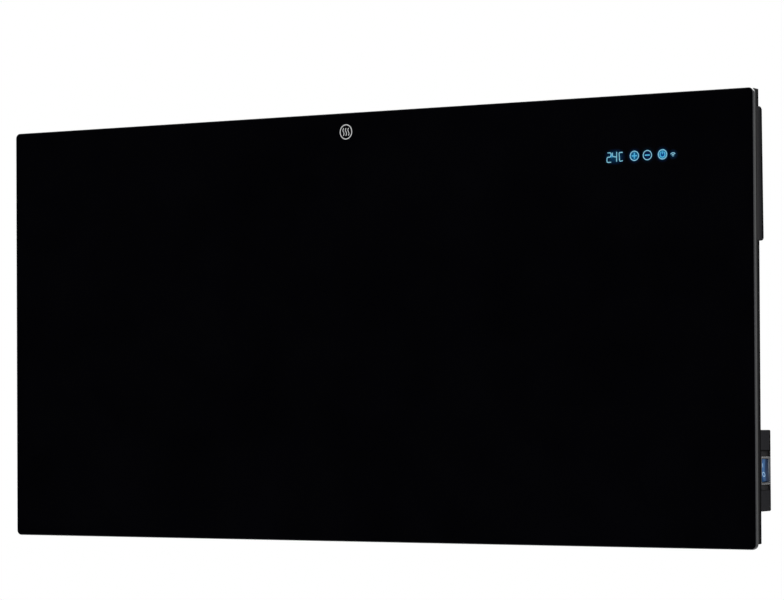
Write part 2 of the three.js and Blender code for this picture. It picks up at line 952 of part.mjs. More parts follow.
const digitsLeft = coverLeft + digitsFromCoverLeft - digitsWidth / 2;
const displayBoardLeft = coverLeft + displayBoardFromCoverLeft;
const displayBoardBottom = keyRow - displayBoardHeight / 2;
const displayBoardFront = carrierFront + digitsThickness + seatGap;
const displayBoardBack = displayBoardFront + boardThickness;
const powerBoardLeft = coverLeft + powerBoardFromCoverLeft;
const powerBoardRight = coverRight - powerBoardFromCoverRight;
const powerBoardWidth = powerBoardRight - powerBoardLeft;
const powerBoardBottom = coverBottom + powerBoardAboveCoverBottom;
const powerBoardFront = carrierBack + powerStandoffHeight + seatGap;
const powerBoardBack = powerBoardFront + boardThickness;
const powerBoardMiddle = powerBoardBottom + powerBoardHeight / 2;
const sensorX = powerBoardRight - sensorFromBoardRight;
const sensorZ = powerBoardBottom + sensorFromBoardRight;

function cornerPlaces(left, width, bottom, height) {
  const xs = [left + standoffInset, left + width - standoffInset];
  const zs = [bottom + standoffInset, bottom + height - standoffInset];
  return xs.flatMap((x) => zs.map((z) => [x, z]));
}

const keyGuides = [
  ['light_guide_plus', plusFromCoverLeft, keyGuideDiameter, keyGuideBore],
  ['light_guide_minus', minusFromCoverLeft, keyGuideDiameter, keyGuideBore],
  ['light_guide_power', powerFromCoverLeft, keyGuideDiameter, keyGuideBore],
  ['light_guide_signal', signalFromCoverLeft, signalGuideDiameter, signalGuideBore],
];

function boardCarrier() {
  const plate = rectangle(carrierLeft, carrierRight, carrierBottom, carrierTop);
  plate.holes.push(rectangle(
    digitsLeft - seatGap,
    digitsLeft + digitsWidth + seatGap,
    keyRow - digitsHeight / 2 - seatGap,
    keyRow + digitsHeight / 2 + seatGap,
  ));
  keyGuides.forEach(([, fromLeft, diameter]) => {
    plate.holes.push(circle(coverLeft + fromLeft, keyRow, diameter + 2 * seatGap));
  });
  const root = carrierBack - carrierPlate / 2;
  const posts = coverScrewPlaces.map(([x, z]) => rodAlongY(x, z, postDiameter, root, postTop));
  const displayStandoffs = cornerPlaces(
    displayBoardLeft,
    displayBoardWidth,
    displayBoardBottom,
    displayBoardHeight,
  ).map(([x, z]) => rodAlongY(x, z, standoffDiameter, root, displayBoardFront - seatGap));
  const powerStandoffs = cornerPlaces(
    powerBoardLeft,
    powerBoardWidth,
    powerBoardBottom,
    powerBoardHeight,
  ).map(([x, z]) => rodAlongY(x, z, standoffDiameter, root, powerBoardFront - seatGap));
  const pilots = coverScrewPlaces.map(([x, z]) =>
    rodAlongY(x, z, screwShankDiameter + 2 * seatGap, carrierBack, postTop + cutMargin));
  return carve(
    [alongY(plate, carrierFront, carrierBack), ...posts, ...displayStandoffs, ...powerStandoffs],
    pilots,
  );
}

function board(left, width, bottom, height, front) {
  const sheet = rectangle(left, left + width, bottom, bottom + height, standoffDiameter / 2);
  return alongY(sheet, front, front + boardThickness);
}

function lightGuide(diameter, bore) {
  const ring = circle(0, 0, diameter);
  ring.holes.push(circle(0, 0, bore));
  return alongY(ring, carrierFront, carrierFront + digitsThickness);
}

// The seven windows of one digit, cut into the display's front face about the digit's centre.
function segmentWindows(x) {
  const reach = (digitWidth - segmentWidth) / 2;
  const rise = (digitHeight - segmentWidth) / 2;
  const across = reach - segmentWidth;
  const up = rise / 2 - segmentWidth;
  const bar = (middleX, middleZ, halfX, halfZ) => block(
    x + middleX - halfX,
    x + middleX + halfX,
    carrierFront - cutMargin,
    carrierFront + segmentDepth,
    keyRow + middleZ - halfZ,
    keyRow + middleZ + halfZ,
  );
  const level = [-rise, 0, rise].map((z) => bar(0, z, across, segmentWidth / 2));
  const upright = [-reach, reach].flatMap((side) => [
    bar(side, -rise / 2, segmentWidth / 2, up),
    bar(side, rise / 2, segmentWidth / 2, up),
  ]);
  return [...level, ...upright];
}

function digitDisplay() {
  const low = keyRow - digitsHeight / 2;
  const body = block(
    digitsLeft,
    digitsLeft + digitsWidth,
    carrierFront,
    carrierFront + digitsThickness,
    low,
    low + digitsHeight,
  );
  const windows = Array.from({ length: digitCount }, (_, index) => {
    const fromMiddle = (index - (digitCount - 1) / 2) * digitPitch;
    return segmentWindows(digitsLeft + digitsWidth / 2 + fromMiddle);
  });
  return carve([body], windows.flat());
}

function onPowerBoard(fromLeft, width, depth, height, z = powerBoardMiddle) {
  const left = powerBoardLeft + fromLeft;
  const front = powerBoardBack + seatGap;
  return block(left, left + width, front, front + height, z - depth / 2, z + depth / 2);
}

// A laminated core with its winding round the middle limb.
function transformer() {
  const core = onPowerBoard(
    transformerFromBoardLeft,
    transformerWidth,
    transformerDepth * transformerCoreRatio,
    transformerHeight,
  );
  const overhang = (transformerWidth * (1 - transformerCoreRatio)) / 2;
  const winding = onPowerBoard(
    transformerFromBoardLeft + overhang,
    transformerWidth * transformerCoreRatio,
    transformerDepth,
    transformerHeight - overhang / 2,
  );
  return carve([core, winding]);
}

function terminalBlock() {
  const body = onPowerBoard(
    terminalBlockFromBoardLeft,
    terminalBlockWidth,
    terminalBlockDepth,
    terminalBlockHeight,
  );
  const pitch = terminalBlockWidth / terminalBlockPoles;
  const top = powerBoardBack + seatGap + terminalBlockHeight;
  const poles = Array.from({ length: terminalBlockPoles }, (_, index) => {
    const x = powerBoardLeft + terminalBlockFromBoardLeft + (index + 1 / 2) * pitch;
    return rodAlongY(x, powerBoardMiddle, terminalPoleDiameter, top - terminalPoleDepth, top + cutMargin);
  });
  return carve([body], poles);
}

// ------------------------------------------------------------------ switch housing

const pillarX = boxLeft + pillarFromBoxLeft;
const pillarPlaces = [
  ['lower', boxBottom + pillarFromBoxEnd],
  ['upper', boxTop - pillarFromBoxEnd],
];
const pillarBack = boxFront + pillarLength;
const pillarScrewSeat = boxBack - housingCounterboreDepth;
const glandX = boxLeft + glandFromBoxLeft;
const glandY = switchAxis;

function switchHousing() {
  const form = (wall, sideWall, sideRadius, front) => housingForm({
    left: boxLeft + wall,
    right: boxRight - sideWall,
    bottom: boxBottom + wall,
    top: boxTop - wall,
    front,
    rearTop: boxBack - wall,
    rearBottom: boxBack - wall,
    endRadius: switchBoxEndRadius - wall,
    sideRadius,
    leftRadius: switchBoxCornerRadius - wall,
    rightRadius: Math.max(switchBoxFlushRadius - wall, seatGap),
  });
  const inside = form(switchBoxWall, switchBoxSideWall, seatGap, boxLipFront - cutMargin);
  const aboveTray = block(
    boxLeft - cutMargin,
    boxRight - switchLipWidth,
    boxLipFront - cutMargin,
    boxFront,
    boxBottom - cutMargin,
    boxTop + cutMargin,
  );
  const recess = alongX(
    rectangle(
      switchAxis - recessWidth / 2,
      switchAxis + recessWidth / 2,
      boxMiddle - recessHeight / 2,
      boxMiddle + recessHeight / 2,
    ),
    boxRight - switchBoxSideWall - cutMargin,
    boxRight + cutMargin,
  );
  const ribFrom = recessHeight / 2 + plateOverlap - guideRibWidth / 2;
  const ribs = [-1, 1].map((side) => {
    const near = boxMiddle + side * ribFrom;
    const far = near + side * guideRibWidth;
    return block(
      plateInner - seatGap - guideRibThickness,
      plateInner - seatGap,
      boxFront + seatGap,
      boxBack - switchBoxWall / 2,
      Math.min(near, far),
      Math.max(near, far),
    );
  });
  const shank = screwShankDiameter + 2 * seatGap;
  const head = screwHeadDiameter + 4 * seatGap;
  const bosses = pillarPlaces.map(([, z]) =>
    rodAlongY(pillarX, z, housingBossDiameter, pillarBack + seatGap, boxBack - switchBoxWall / 2));
  const holes = pillarPlaces.flatMap(([, z]) => [
    rodAlongY(pillarX, z, shank, pillarBack - cutMargin, boxBack + cutMargin),
    rodAlongY(pillarX, z, head, pillarScrewSeat, boxBack + cutMargin),
  ]);
  const glandHole = rodAlongZ(
    glandX,
    glandY,
    glandThreadDiameter + 2 * seatGap,
    boxBottom - cutMargin,
    boxBottom + switchBoxWall + cutMargin,
  );
  const shell = carve([form(0, 0, switchBoxSideRadius, boxLipFront)], [inside, aboveTray]);
  return carve([shell, ...ribs, ...bosses], [recess, ...holes, glandHole]);
}

function switchPlate() {
  const half = recessHeight / 2 + plateOverlap;
  const plate = rectangle(
    boxLipFront + seatGap,
    boxBack - switchBoxWall - seatGap,
    boxMiddle - half,
    boxMiddle + half,
  );
  plate.holes.push(rectangle(
    switchAxis - frameBodyWidth / 2 - seatGap,
    switchAxis + frameBodyWidth / 2 + seatGap,
    boxMiddle - frameBodyHeight / 2 - seatGap,
    boxMiddle + frameBodyHeight / 2 + seatGap,
  ));
  return alongX(plate, plateInner, plateOuter);
}

function pillar() {
  const shape = polygon(0, 0, pillarAcrossFlats, hexSides);
  const bore = circle(0, 0, screwShankDiameter + 2 * seatGap);
  shape.holes.push(bore);
  return alongY(shape, 0, pillarLength);
}

// ------------------------------------------------------------------ rocker switch

// Bezel and body in one moulding, with the well that the rocker turns in.
function switchFrame() {
  const halfWidth = bezelWidth / 2;
  const halfHeight = bezelHeight / 2;
  const bezel = common(
    alongX(
      rectangle(
        switchAxis - halfWidth,
        switchAxis + halfWidth,
        boxMiddle - halfHeight,
        boxMiddle + halfHeight,
      ),
      bezelInner,
      bezelOuter,
    ),
    common(
      alongY(
        outline([
          [bezelInner, boxMiddle - halfHeight],
          [bezelOuter, boxMiddle - halfHeight, bezelChamfer],
          [bezelOuter, boxMiddle + halfHeight, bezelChamfer],
          [bezelInner, boxMiddle + halfHeight],
        ]),
        switchAxis - halfWidth,
        switchAxis + halfWidth,
      ),
      alongZ(
        outline([
          [bezelInner, switchAxis - halfWidth],
          [bezelOuter, switchAxis - halfWidth, bezelChamfer],
          [bezelOuter, switchAxis + halfWidth, bezelChamfer],
          [bezelInner, switchAxis + halfWidth],
        ]),
        boxMiddle - halfHeight,
        boxMiddle + halfHeight,
      ),
    ),
  );
  const body = block(
    frameBodyInner,
    bezelInner + bezelThickness / 2,
    switchAxis - frameBodyWidth / 2,
    switchAxis + frameBodyWidth / 2,
    boxMiddle - frameBodyHeight / 2,
    boxMiddle + frameBodyHeight / 2,
  );
  const wellHalfWidth = rockerWidth / 2 + seatGap;
  const wellHalfHeight = rockerRadius + seatGap;
  const well = block(
    rockerPivot - frameWellDepth,
    bezelOuter + cutMargin,
    switchAxis - wellHalfWidth,
    switchAxis + wellHalfWidth,
    boxMiddle - wellHalfHeight,
    boxMiddle + wellHalfHeight,
  );
  const bearing = rodAlongY(
    rockerPivot,
    boxMiddle,
    trunnionDiameter + 2 * seatGap,
    switchAxis - frameBodyWidth / 2 - cutMargin,
    switchAxis + frameBodyWidth / 2 + cutMargin,
  );
  return carve([bezel, body], [well, bearing]);
}

// The rocker about its own pivot: a dished face between two ends that are arcs about the pivot.
function rocker() {
  const pressedAngle = Math.asin((rockerPivotDepth - rockerPressedDepth) / rockerRadius);
  const faceAngle = pressedAngle + rockerTilt * degrees;
  const heelAngle = -rockerHeelAngle * degrees;
  const faceX = rockerRadius * Math.sin(faceAngle);
  const faceZ = rockerRadius * Math.cos(faceAngle);
  const dishRadius = (faceZ * faceZ + rockerDish * rockerDish) / (2 * rockerDish);
  const dishCentre = faceX - rockerDish + dishRadius;
  const dishAngle = Math.asin(faceZ / dishRadius);
  const shape = new THREE.Shape();
  shape.moveTo(faceX, faceZ);
  shape.absarc(0, 0, rockerRadius, Math.PI / 2 - faceAngle, Math.PI / 2 - heelAngle, false);
  shape.lineTo(-rockerKeelDepth + trunnionDiameter / 2, rockerKeelWidth);
  shape.lineTo(-rockerKeelDepth, rockerKeelWidth / 2);
  shape.lineTo(-rockerKeelDepth, -rockerKeelWidth / 2);
  shape.lineTo(-rockerKeelDepth + trunnionDiameter / 2, -rockerKeelWidth);
  shape.absarc(0, 0, rockerRadius, heelAngle - Math.PI / 2, faceAngle - Math.PI / 2, false);
  shape.absarc(dishCentre, 0, dishRadius, Math.PI + dishAngle, Math.PI - dishAngle, true);
  const half = rockerWidth / 2;
  const paddle = alongY(shape, -half, half, arcSteps * 2);
  const trunnions = rodAlongY(0, 0, trunnionDiameter, -half - trunnionLength, half + trunnionLength);
  return carve([paddle, trunnions]);
}

function terminalBlade() {
  const blade = rectangle(-bladeLength, 0, -bladeWidth / 2, bladeWidth / 2);
  blade.holes.push(circle(-bladeLength + bladeWidth / 2, 0, bladeHoleDiameter));
  return alongY(blade, -bladeThickness / 2, bladeThickness / 2);
}

// ------------------------------------------------------------------ cable gland, about a vertical axis

const glandSeat = boxBottom - seatGap;
const glandFlangeLow = glandSeat - glandFlangeHeight;
const glandThreadLow = glandFlangeLow - glandThreadBelow;
const glandNutTop = glandFlangeLow - seatGap;
const glandNutLow = glandNutTop - glandNutHeight;
const glandSealTop = glandThreadLow - seatGap;

function glandTube(outer, inner, z0, z1) {
  const ring = circle(glandX, glandY, outer);
  ring.holes.push(circle(glandX, glandY, inner));
  return alongZ(ring, z0, z1, roundSides / 2);
}

function glandBody() {
  const thread = rodAlongZ(
    glandX,
    glandY,
    glandThreadDiameter,
    glandThreadLow,
    boxBottom + glandThreadInside,
  );
  const flange = alongZ(polygon(glandX, glandY, glandAcrossFlats, hexSides), glandFlangeLow, glandSeat);
  const bore = rodAlongZ(
    glandX,
    glandY,
    glandBore,
    glandThreadLow - cutMargin,
    boxBottom + glandThreadInside + cutMargin,
  );
  return carve([thread, flange], [bore]);
}

function glandLocknut() {
  const low = boxBottom + switchBoxWall + seatGap;
  const shape = polygon(glandX, glandY, glandAcrossFlats, hexSides);
  shape.holes.push(circle(glandX, glandY, glandThreadDiameter + 2 * seatGap));
  return alongZ(shape, low, low + locknutHeight, roundSides / 2);
}

function glandNut() {
  const hexagon = alongZ(polygon(glandX, glandY, glandAcrossFlats, hexSides), glandNutLow, glandNutTop);
  const dome = turned([
    [0, glandNutLow],
    [glandAcrossFlats / 2 - glandNutLip, glandNutLow],
    [glandAcrossFlats / 2 + glandNutLip, glandNutLow + glandNutHeight / 3],
    [glandAcrossFlats / 2 + glandNutLip, glandNutTop],
    [0, glandNutTop],
  ]).translate(glandX, glandY, 0);
  const cavity = rodAlongZ(
    glandX,
    glandY,
    glandThreadDiameter + 2 * seatGap,
    glandSealTop - glandSealHeight - seatGap,
    glandNutTop + cutMargin,
  );
  const bore = rodAlongZ(glandX, glandY, glandBore, glandNutLow - cutMargin, glandNutTop);
  return toGeometry(
    toSolid(hexagon).intersect(toSolid(dome)).subtract(toSolid(cavity)).subtract(toSolid(bore)),
  );
}

// ------------------------------------------------------------------ rails and bumpers

const upperRailZ = glassHeight / 2 - upperRailBelowGlassTop;
const lowerRailZ = -glassHeight / 2 + lowerRailAboveGlassBottom;
const railEnd = coverLeft - railFromCover;

// A hat-section rail: two flanges on the tray, two webs and a face towards the wall.
function rail(z, faceY) {
  const foot = trayBack + seatGap;
  const half = railFaceHeight / 2;
  const flange = half + railFlangeHeight;
  const outerBend = railBendRadius;
  const innerBend = railBendRadius - railSheet;
  const section = outline([
    [foot, z - flange],
    [foot + railSheet, z - flange],
    [foot + railSheet, z - half, innerBend],
    [faceY, z - half, outerBend],
    [faceY, z + half, outerBend],
    [foot + railSheet, z + half, innerBend],
    [foot + railSheet, z + flange],
    [foot, z + flange],
    [foot, z + half - railSheet, outerBend],
    [faceY - railSheet, z + half - railSheet, innerBend],
    [faceY - railSheet, z - half + railSheet, innerBend],
    [foot, z - half + railSheet, outerBend],
  ]);
  return alongX(section, -railEnd, railEnd);
}

// A round hole for the screw's head with a neck above it that the screw's shank slides into.
function keyhole(x) {
  const low = wallPlane - railSheet - cutMargin;
  const high = wallPlane + cutMargin;
  const headZ = upperRailZ - keyholeRise / 2;
  const neckTop = headZ + keyholeRise;
  const half = keyholeNeckWidth / 2;
  const neck = outline([
    [x - half, headZ],
    [x + half, headZ],
    [x + half, neckTop, half - seatGap / 10],
    [x - half, neckTop, half - seatGap / 10],
  ]);
  return [rodAlongY(x, headZ, keyholeHeadDiameter, low, high), alongY(neck, low, high)];
}

function hangingRail() {
  const cuts = [-1, 1].flatMap((side) => keyhole((side * keyholeSpacing) / 2));
  return carve([rail(upperRailZ, wallPlane)], cuts);
}

const spacerFace = wallPlane - bumperThickness - seatGap;

function bumper() {
  const radius = bumperDiameter / 2;
  return turned([
    [0, 0],
    [radius, 0],
    [radius, bumperThickness - bumperChamfer],
    [radius - bumperChamfer, bumperThickness],
    [0, bumperThickness],
  ]).rotateX(-Math.PI / 2);
}

// ------------------------------------------------------------------ assembly

function buildPanel() {
  const panel = new THREE.Group();
  add(panel, 'glass_front', glassFront(), blackGlass);
  add(panel, 'edge_seal', edgeSeal(), sealant);
  add(panel, 'back_tray', backTray(), blackSteel);
  return panel;
}

function buildHeating() {
  const heating = new THREE.Group();
  add(heating, 'heating_mat_main', heatingMat(matLeft, mainMatRight, matTop), carbonFilm);
  add(heating, 'heating_mat_side', heatingMat(sideMatLeft, matRight, sideMatTop), carbonFilm);
  add(heating, 'busbar_left', busbar(matLeft), copper);
  add(heating, 'busbar_centre', centreBusbar(), copper);
  add(heating, 'busbar_right', busbar(matRight - busbarWidth), copper);
  add(heating, 'reflector_foil', reflectorFoil(), foil);
  add(heating, 'insulation_board', insulationBoard(), mineralBoard);
  [['overheat_cutout_main', mainCutoutX], ['overheat_cutout_side', sideCutoutX]].forEach(([name, x]) => {
    add(heating, name, cutoutCapsule(), whitePlastic).position.set(x, cutoutFront, cutoutZ);
  });
  add(heating, 'mat_lead_left', leftLead(), insulatedLead);
  add(heating, 'mat_lead_centre', centreLead(), insulatedLead);
  add(heating, 'mat_lead_right', rightLead(), insulatedLead);
  add(heating, 'supply_lead', supplyLead(), insulatedLead);
  return heating;
}

function buildControls() {
  const controls = new THREE.Group();
  add(controls, 'control_cover', controlCover(), blackPlastic);
  ['lower_left', 'lower_right', 'upper_left', 'upper_right'].forEach((place, index) => {
    const [x, z] = coverScrewPlaces[index];
    const screwMesh = add(controls, `control_cover_screw_${place}`, screw(screwLength), platedSteel);
    screwMesh.position.set(x, coverSeat(z) + seatGap, z);
  });
  add(controls, 'board_carrier', boardCarrier(), whitePlastic);
  add(
    controls,
    'display_board',
    board(displayBoardLeft, displayBoardWidth, displayBoardBottom, displayBoardHeight, displayBoardFront),
    circuitBoard,
  );
  add(controls, 'digit_display', digitDisplay(), componentBlack);
  keyGuides.forEach(([name, fromLeft, diameter, bore]) => {
    const guide = add(controls, name, lightGuide(diameter, bore), clearPlastic);
    guide.position.set(coverLeft + fromLeft, 0, keyRow);
  });
  const card = rectangle(-wirelessWidth / 2, wirelessWidth / 2, -wirelessHeight / 2, wirelessHeight / 2);
  add(controls, 'wireless_module', alongY(card, 0, wirelessThickness), componentBlack).position.set(
    coverLeft + powerFromCoverLeft,
    displayBoardBack + seatGap,
    keyRow,
  );
  add(
    controls,
    'power_board',
    board(powerBoardLeft, powerBoardWidth, powerBoardBottom, powerBoardHeight, powerBoardFront),
    circuitBoard,
  );
  const relayBody = onPowerBoard(relayFromBoardLeft, relayWidth, relayDepth, relayHeight);
  add(controls, 'relay', relayBody, componentBlue);
  add(controls, 'transformer', transformer(), laminations);
  add(
    controls,
    'capacitor',
    onPowerBoard(capacitorFromBoardLeft, capacitorWidth, capacitorDepth, capacitorHeight),
    componentBlue,
  );
  add(controls, 'terminal_block', terminalBlock(), whitePlastic);
  const sensorBody = rodAlongY(0, 0, sensorDiameter, 0, sensorHeight);
  const sensor = add(controls, 'room_sensor', sensorBody, componentBlack);
  sensor.position.set(sensorX, powerBoardBack + seatGap, sensorZ);
  return controls;
}

function buildSwitch() {
  const controls = new THREE.Group();
  add(controls, 'switch_housing', switchHousing(), blackPlastic);
  pillarPlaces.forEach(([place, z]) => {
    add(controls, `switch_pillar_${place}`, pillar(), brass).position.set(pillarX, boxFront, z);
    const screwMesh = add(controls, `switch_housing_screw_${place}`, screw(pillarScrewLength), platedSteel);
    screwMesh.position.set(pillarX, pillarScrewSeat + seatGap, z);
  });
  add(controls, 'switch_plate', switchPlate(), blackPlastic);
  add(controls, 'switch_frame', switchFrame(), glossPlastic);
  const pivot = new THREE.Group();
  pivot.position.set(rockerPivot, switchAxis, boxMiddle);
  pivot.rotation.y = -rockerTilt * degrees;
  add(pivot, 'rocker', rocker(), bluePlastic);
  controls.add(pivot);
  [['upper', 1], ['lower', -1]].forEach(([row, up]) => {
    [['front', -1], ['rear', 1]].forEach(([column, across]) => {
      add(controls, `switch_terminal_${row}_${column}`, terminalBlade(), brass).position.set(
        frameBodyInner - seatGap,
        switchAxis + (across * bladeSpacingAcross) / 2,
        boxMiddle + (up * bladeSpacingUp) / 2,
      );
    });
  });
  add(controls, 'gland_body', glandBody(), blackPlastic);
  add(controls, 'gland_locknut', glandLocknut(), blackPlastic);
  add(controls, 'gland_seal', glandTube(
    glandThreadDiameter,
    glandBore,
    glandSealTop - glandSealHeight,
    glandSealTop,
  ), rubber);
  add(controls, 'gland_nut', glandNut(), blackPlastic);
  return controls;
}

function buildWallFixings() {
  const fixings = new THREE.Group();
  add(fixings, 'hanging_rail', hangingRail(), blackSteel);
  add(fixings, 'spacer_rail', rail(lowerRailZ, spacerFace), blackSteel);
  [['left', -1], ['right', 1]].forEach(([place, side]) => {
    add(fixings, `bumper_${place}`, bumper(), rubber).position.set(
      side * (railEnd - bumperFromRailEnd),
      spacerFace + seatGap,
      lowerRailZ,
    );
  });
  return fixings;
}

heater.add(buildPanel(), buildHeating(), buildControls(), buildSwitch(), buildWallFixings());
heater.position.set(0, -wallPlane, -upperRailZ);

export default heater;
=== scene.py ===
import json
import math

import bmesh
import bpy
from mathutils import Matrix, Vector


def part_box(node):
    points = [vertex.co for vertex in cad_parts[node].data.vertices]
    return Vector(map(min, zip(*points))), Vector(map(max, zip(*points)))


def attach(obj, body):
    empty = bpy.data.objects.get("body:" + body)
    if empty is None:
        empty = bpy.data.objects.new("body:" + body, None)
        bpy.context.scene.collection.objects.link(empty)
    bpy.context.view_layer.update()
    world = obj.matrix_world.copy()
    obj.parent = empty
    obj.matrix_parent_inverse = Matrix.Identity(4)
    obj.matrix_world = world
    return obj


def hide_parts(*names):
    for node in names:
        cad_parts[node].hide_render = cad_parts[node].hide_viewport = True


MM = 0.001
WALL = 52.0          # the wall plane, mm behind the front of the glass
RAIL = 150.0         # the hanging rail's height above the middle of the glass, mm
TINY = 1e-9
BLACK = (0.0, 0.0, 0.0)

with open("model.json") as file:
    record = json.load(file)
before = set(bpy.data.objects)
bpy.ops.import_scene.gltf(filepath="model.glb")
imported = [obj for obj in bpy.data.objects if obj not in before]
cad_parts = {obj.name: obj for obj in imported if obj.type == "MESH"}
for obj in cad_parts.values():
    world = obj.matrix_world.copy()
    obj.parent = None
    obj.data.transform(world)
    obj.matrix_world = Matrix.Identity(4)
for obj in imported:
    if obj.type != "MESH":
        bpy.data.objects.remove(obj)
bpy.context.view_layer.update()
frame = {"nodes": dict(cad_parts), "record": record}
nodes = frame["nodes"]


def at(x, y, z):
    """A point given in mm from the middle of the glass's front, in the row's frame in metres."""
    return Vector((x * MM, (y - WALL) * MM, (z - RAIL) * MM))


# ---------------------------------------------------------------- node trees

class Tree:
    """A short way to write a node tree."""

    def __init__(self, tree):
        self.tree = tree

    def add(self, kind, **settings):
        made = self.tree.nodes.new(kind)
        for key, value in settings.items():
            setattr(made, key, value)
        return made

    def link(self, out, socket):
        self.tree.links.new(out, socket)

    def ramp(self, fac, stops):
        made = self.add("ShaderNodeValToRGB")
        elements = made.color_ramp.elements
        while len(elements) < len(stops):
            elements.new(0.5)
        for element, (place, color) in zip(elements, stops):
            element.position = place
            element.color = (*color, 1.0)
        self.link(fac, made.inputs["Fac"])
        return made.outputs["Color"]

    def span(self, fac, low, high, start=0.0, end=1.0):
        """A value that runs from low to high while fac runs from start to end, and stays there."""
        made = self.add("ShaderNodeMapRange")
        made.inputs["From Min"].default_value = start
        made.inputs["From Max"].default_value = end
        made.inputs["To Min"].default_value = low
        made.inputs["To Max"].default_value = high
        self.link(fac, made.inputs["Value"])
        return made.outputs["Result"]

    def math(self, operation, a, b=None):
        made = self.add("ShaderNodeMath", operation=operation)
        for socket, value in zip(made.inputs, (a, b)):
            if value is None:
                continue
            if isinstance(value, (int, float)):
                socket.default_value = value
            else:
                self.link(value, socket)
        return made.outputs["Value"]

    def axis(self, source, name):
        made = self.add("ShaderNodeSeparateXYZ")
        self.link(source, made.inputs["Vector"])
        return made.outputs[name]


class Graph(Tree):
    """One material."""

    def __init__(self, name):
        self.material = bpy.data.materials.new(name)
        self.material.use_nodes = True
        super().__init__(self.material.node_tree)
        self.shader = self.tree.nodes["Principled BSDF"]
        self.place = self.add("ShaderNodeTexCoord").outputs["Object"]

    def stretched(self, stretch):
        mapping = self.add("ShaderNodeMapping")
        mapping.inputs["Scale"].default_value = stretch
        self.link(self.place, mapping.inputs["Vector"])
        return mapping.outputs["Vector"]

    def noise(self, scale, detail=3.0, rough=0.5, stretch=None):
        made = self.add("ShaderNodeTexNoise")
        made.inputs["Scale"].default_value = scale
        made.inputs["Detail"].default_value = detail
        made.inputs["Roughness"].default_value = rough
        self.link(self.stretched(stretch) if stretch else self.place, made.inputs["Vector"])
        return made.outputs["Fac"]

    def bump(self, height, strength, distance):
        made = self.add("ShaderNodeBump")
        made.inputs["Strength"].default_value = strength
        made.inputs["Distance"].default_value = distance
        self.link(height, made.inputs["Height"])
        self.link(made.outputs["Normal"], self.shader.inputs["Normal"])

    def facing(self, name):
        """One axis of the surface's own normal."""
        return self.axis(self.add("ShaderNodeNewGeometry").outputs["True Normal"], name)

    def blend(self, factor, color):
        """Lays a colour over the base colour so far, by the factor."""
        socket = self.shader.inputs["Base Color"]
        mix = self.add("ShaderNodeMix", data_type="RGBA")
        self.link(factor, mix.inputs["Factor"])
        self.link(socket.links[0].from_socket, mix.inputs["A"])
        if isinstance(color, tuple):
            mix.inputs["B"].default_value = (*color, 1.0)
        else:
            self.link(color, mix.inputs["B"])
        self.link(mix.outputs["Result"], socket)

    def set(self, **values):
        """Plain values of the shader's sockets. An underscore stands for a space."""
        for key, value in values.items():
            self.shader.inputs[key.replace("_", " ")].default_value = value


def shade(color, factor):
    return tuple(min(1.0, c * factor) for c in color)


# ---------------------------------------------------------------- materials

PATCH_SCALE = 14.0           # broad patches of colour, per metre
MOTTLE = 0.25                # how much the lights behind the glass vary
GLASS_IOR = 1.52
BOX_FRONT = (9.6 - WALL) * MM        # where the covers' walls come out from beside the glass's seal
COVER_LEAN = 2.7 / 146.1     # how much the cover's rear face leans towards the room, per mm of height
# painted shade, for the rear strips and shadow lines of the right-hand walls
SIDE_PAINTED_SHADE = (0.001, 0.001, 0.0013)
# a painted reflection on the far wall of the switch's well
WELL_PAINTED_REFLECTION = (0.25, 0.28, 0.32)

frame_low, frame_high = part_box("switch_frame")
SWITCH_Z = (frame_low[2] + frame_high[2]) / 2
# the painted shadow lines at the recess's two ends: height in metres and half thickness in mm
RECESS_SHADOW_LINES = [(SWITCH_Z + 21.8 * MM, 1.0), (SWITCH_Z - 20.5 * MM, 1.4)]


def surface(name, color, rough, grain, relief, metal=0.0, spec=0.5, tint=0.12, spread=0.05,
            depth=0.0001, stretch=None, detail=3.0):
    """Colour and gloss that vary in broad patches, and a fine grain in the relief."""
    g = Graph(name)
    broad = g.noise(PATCH_SCALE, 4.0, 0.6)
    g.link(g.ramp(broad, [(0.3, shade(color, 1 - tint)), (0.7, shade(color, 1 + tint))]),
           g.shader.inputs["Base Color"])
    fine = g.noise(grain, detail, 0.55, stretch)
    g.link(g.span(fine, rough - spread, rough + spread, 0.3, 0.7), g.shader.inputs["Roughness"])
    g.bump(fine, relief, depth)
    g.set(Metallic=metal, Specular_IOR_Level=spec)
    return g


def wall_shading(g, node, wall_shade, front, width, lean=0.0, shadow_lines=()):
    """Paints light and shade onto a piece's right-hand wall.

    The wall takes a painted shade, takes the lighter colour front where it starts as painted light, and
    has painted shade in its shadow lines and in a strip along its rear edge, whose width is in mm.
    """
    low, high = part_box(node)
    rear = high[1]
    z = g.axis(g.place, "Z")
    y = g.math("ADD", g.axis(g.place, "Y"), g.math("MULTIPLY", g.math("SUBTRACT", z, low[2]), lean))
    across = g.span(g.math("ABSOLUTE", g.facing("Y")), 1.0, 0.0, 0.90, 0.99)
    wall = g.math("MULTIPLY", across, g.span(g.facing("X"), 0.0, 1.0, 0.1, 0.3))
    # painted shade over the whole right-hand wall
    g.blend(wall, wall_shade)
    # painted light where the wall starts, painted shade in a strip along its rear edge
    zones = [(front, y, 0.6 * rear + 0.4 * BOX_FRONT, BOX_FRONT),
             (SIDE_PAINTED_SHADE, y, rear - width * MM, rear - 0.8 * width * MM)]
    # painted shadow lines along the recess's ends
    for middle_z, half in shadow_lines:
        away = g.math("ABSOLUTE", g.math("SUBTRACT", z, middle_z))
        zones.append((SIDE_PAINTED_SHADE, away, half * MM, 0.5 * half * MM))
    for color, source, first, last in zones:
        g.blend(g.math("MULTIPLY", g.span(source, 0.0, 1.0, first, last), wall), color)


def paint_well_reflection(g):
    """Paints a reflection on the well's far wall, which faces the room, so that it is the lightest part
    of the switch's bezel.
    """
    far = g.math("GREATER_THAN", g.axis(g.place, "Y"), (frame_low[1] + frame_high[1]) / 2)
    g.blend(g.math("MULTIPLY", g.math("LESS_THAN", g.facing("Y"), -0.5), far), WELL_PAINTED_REFLECTION)


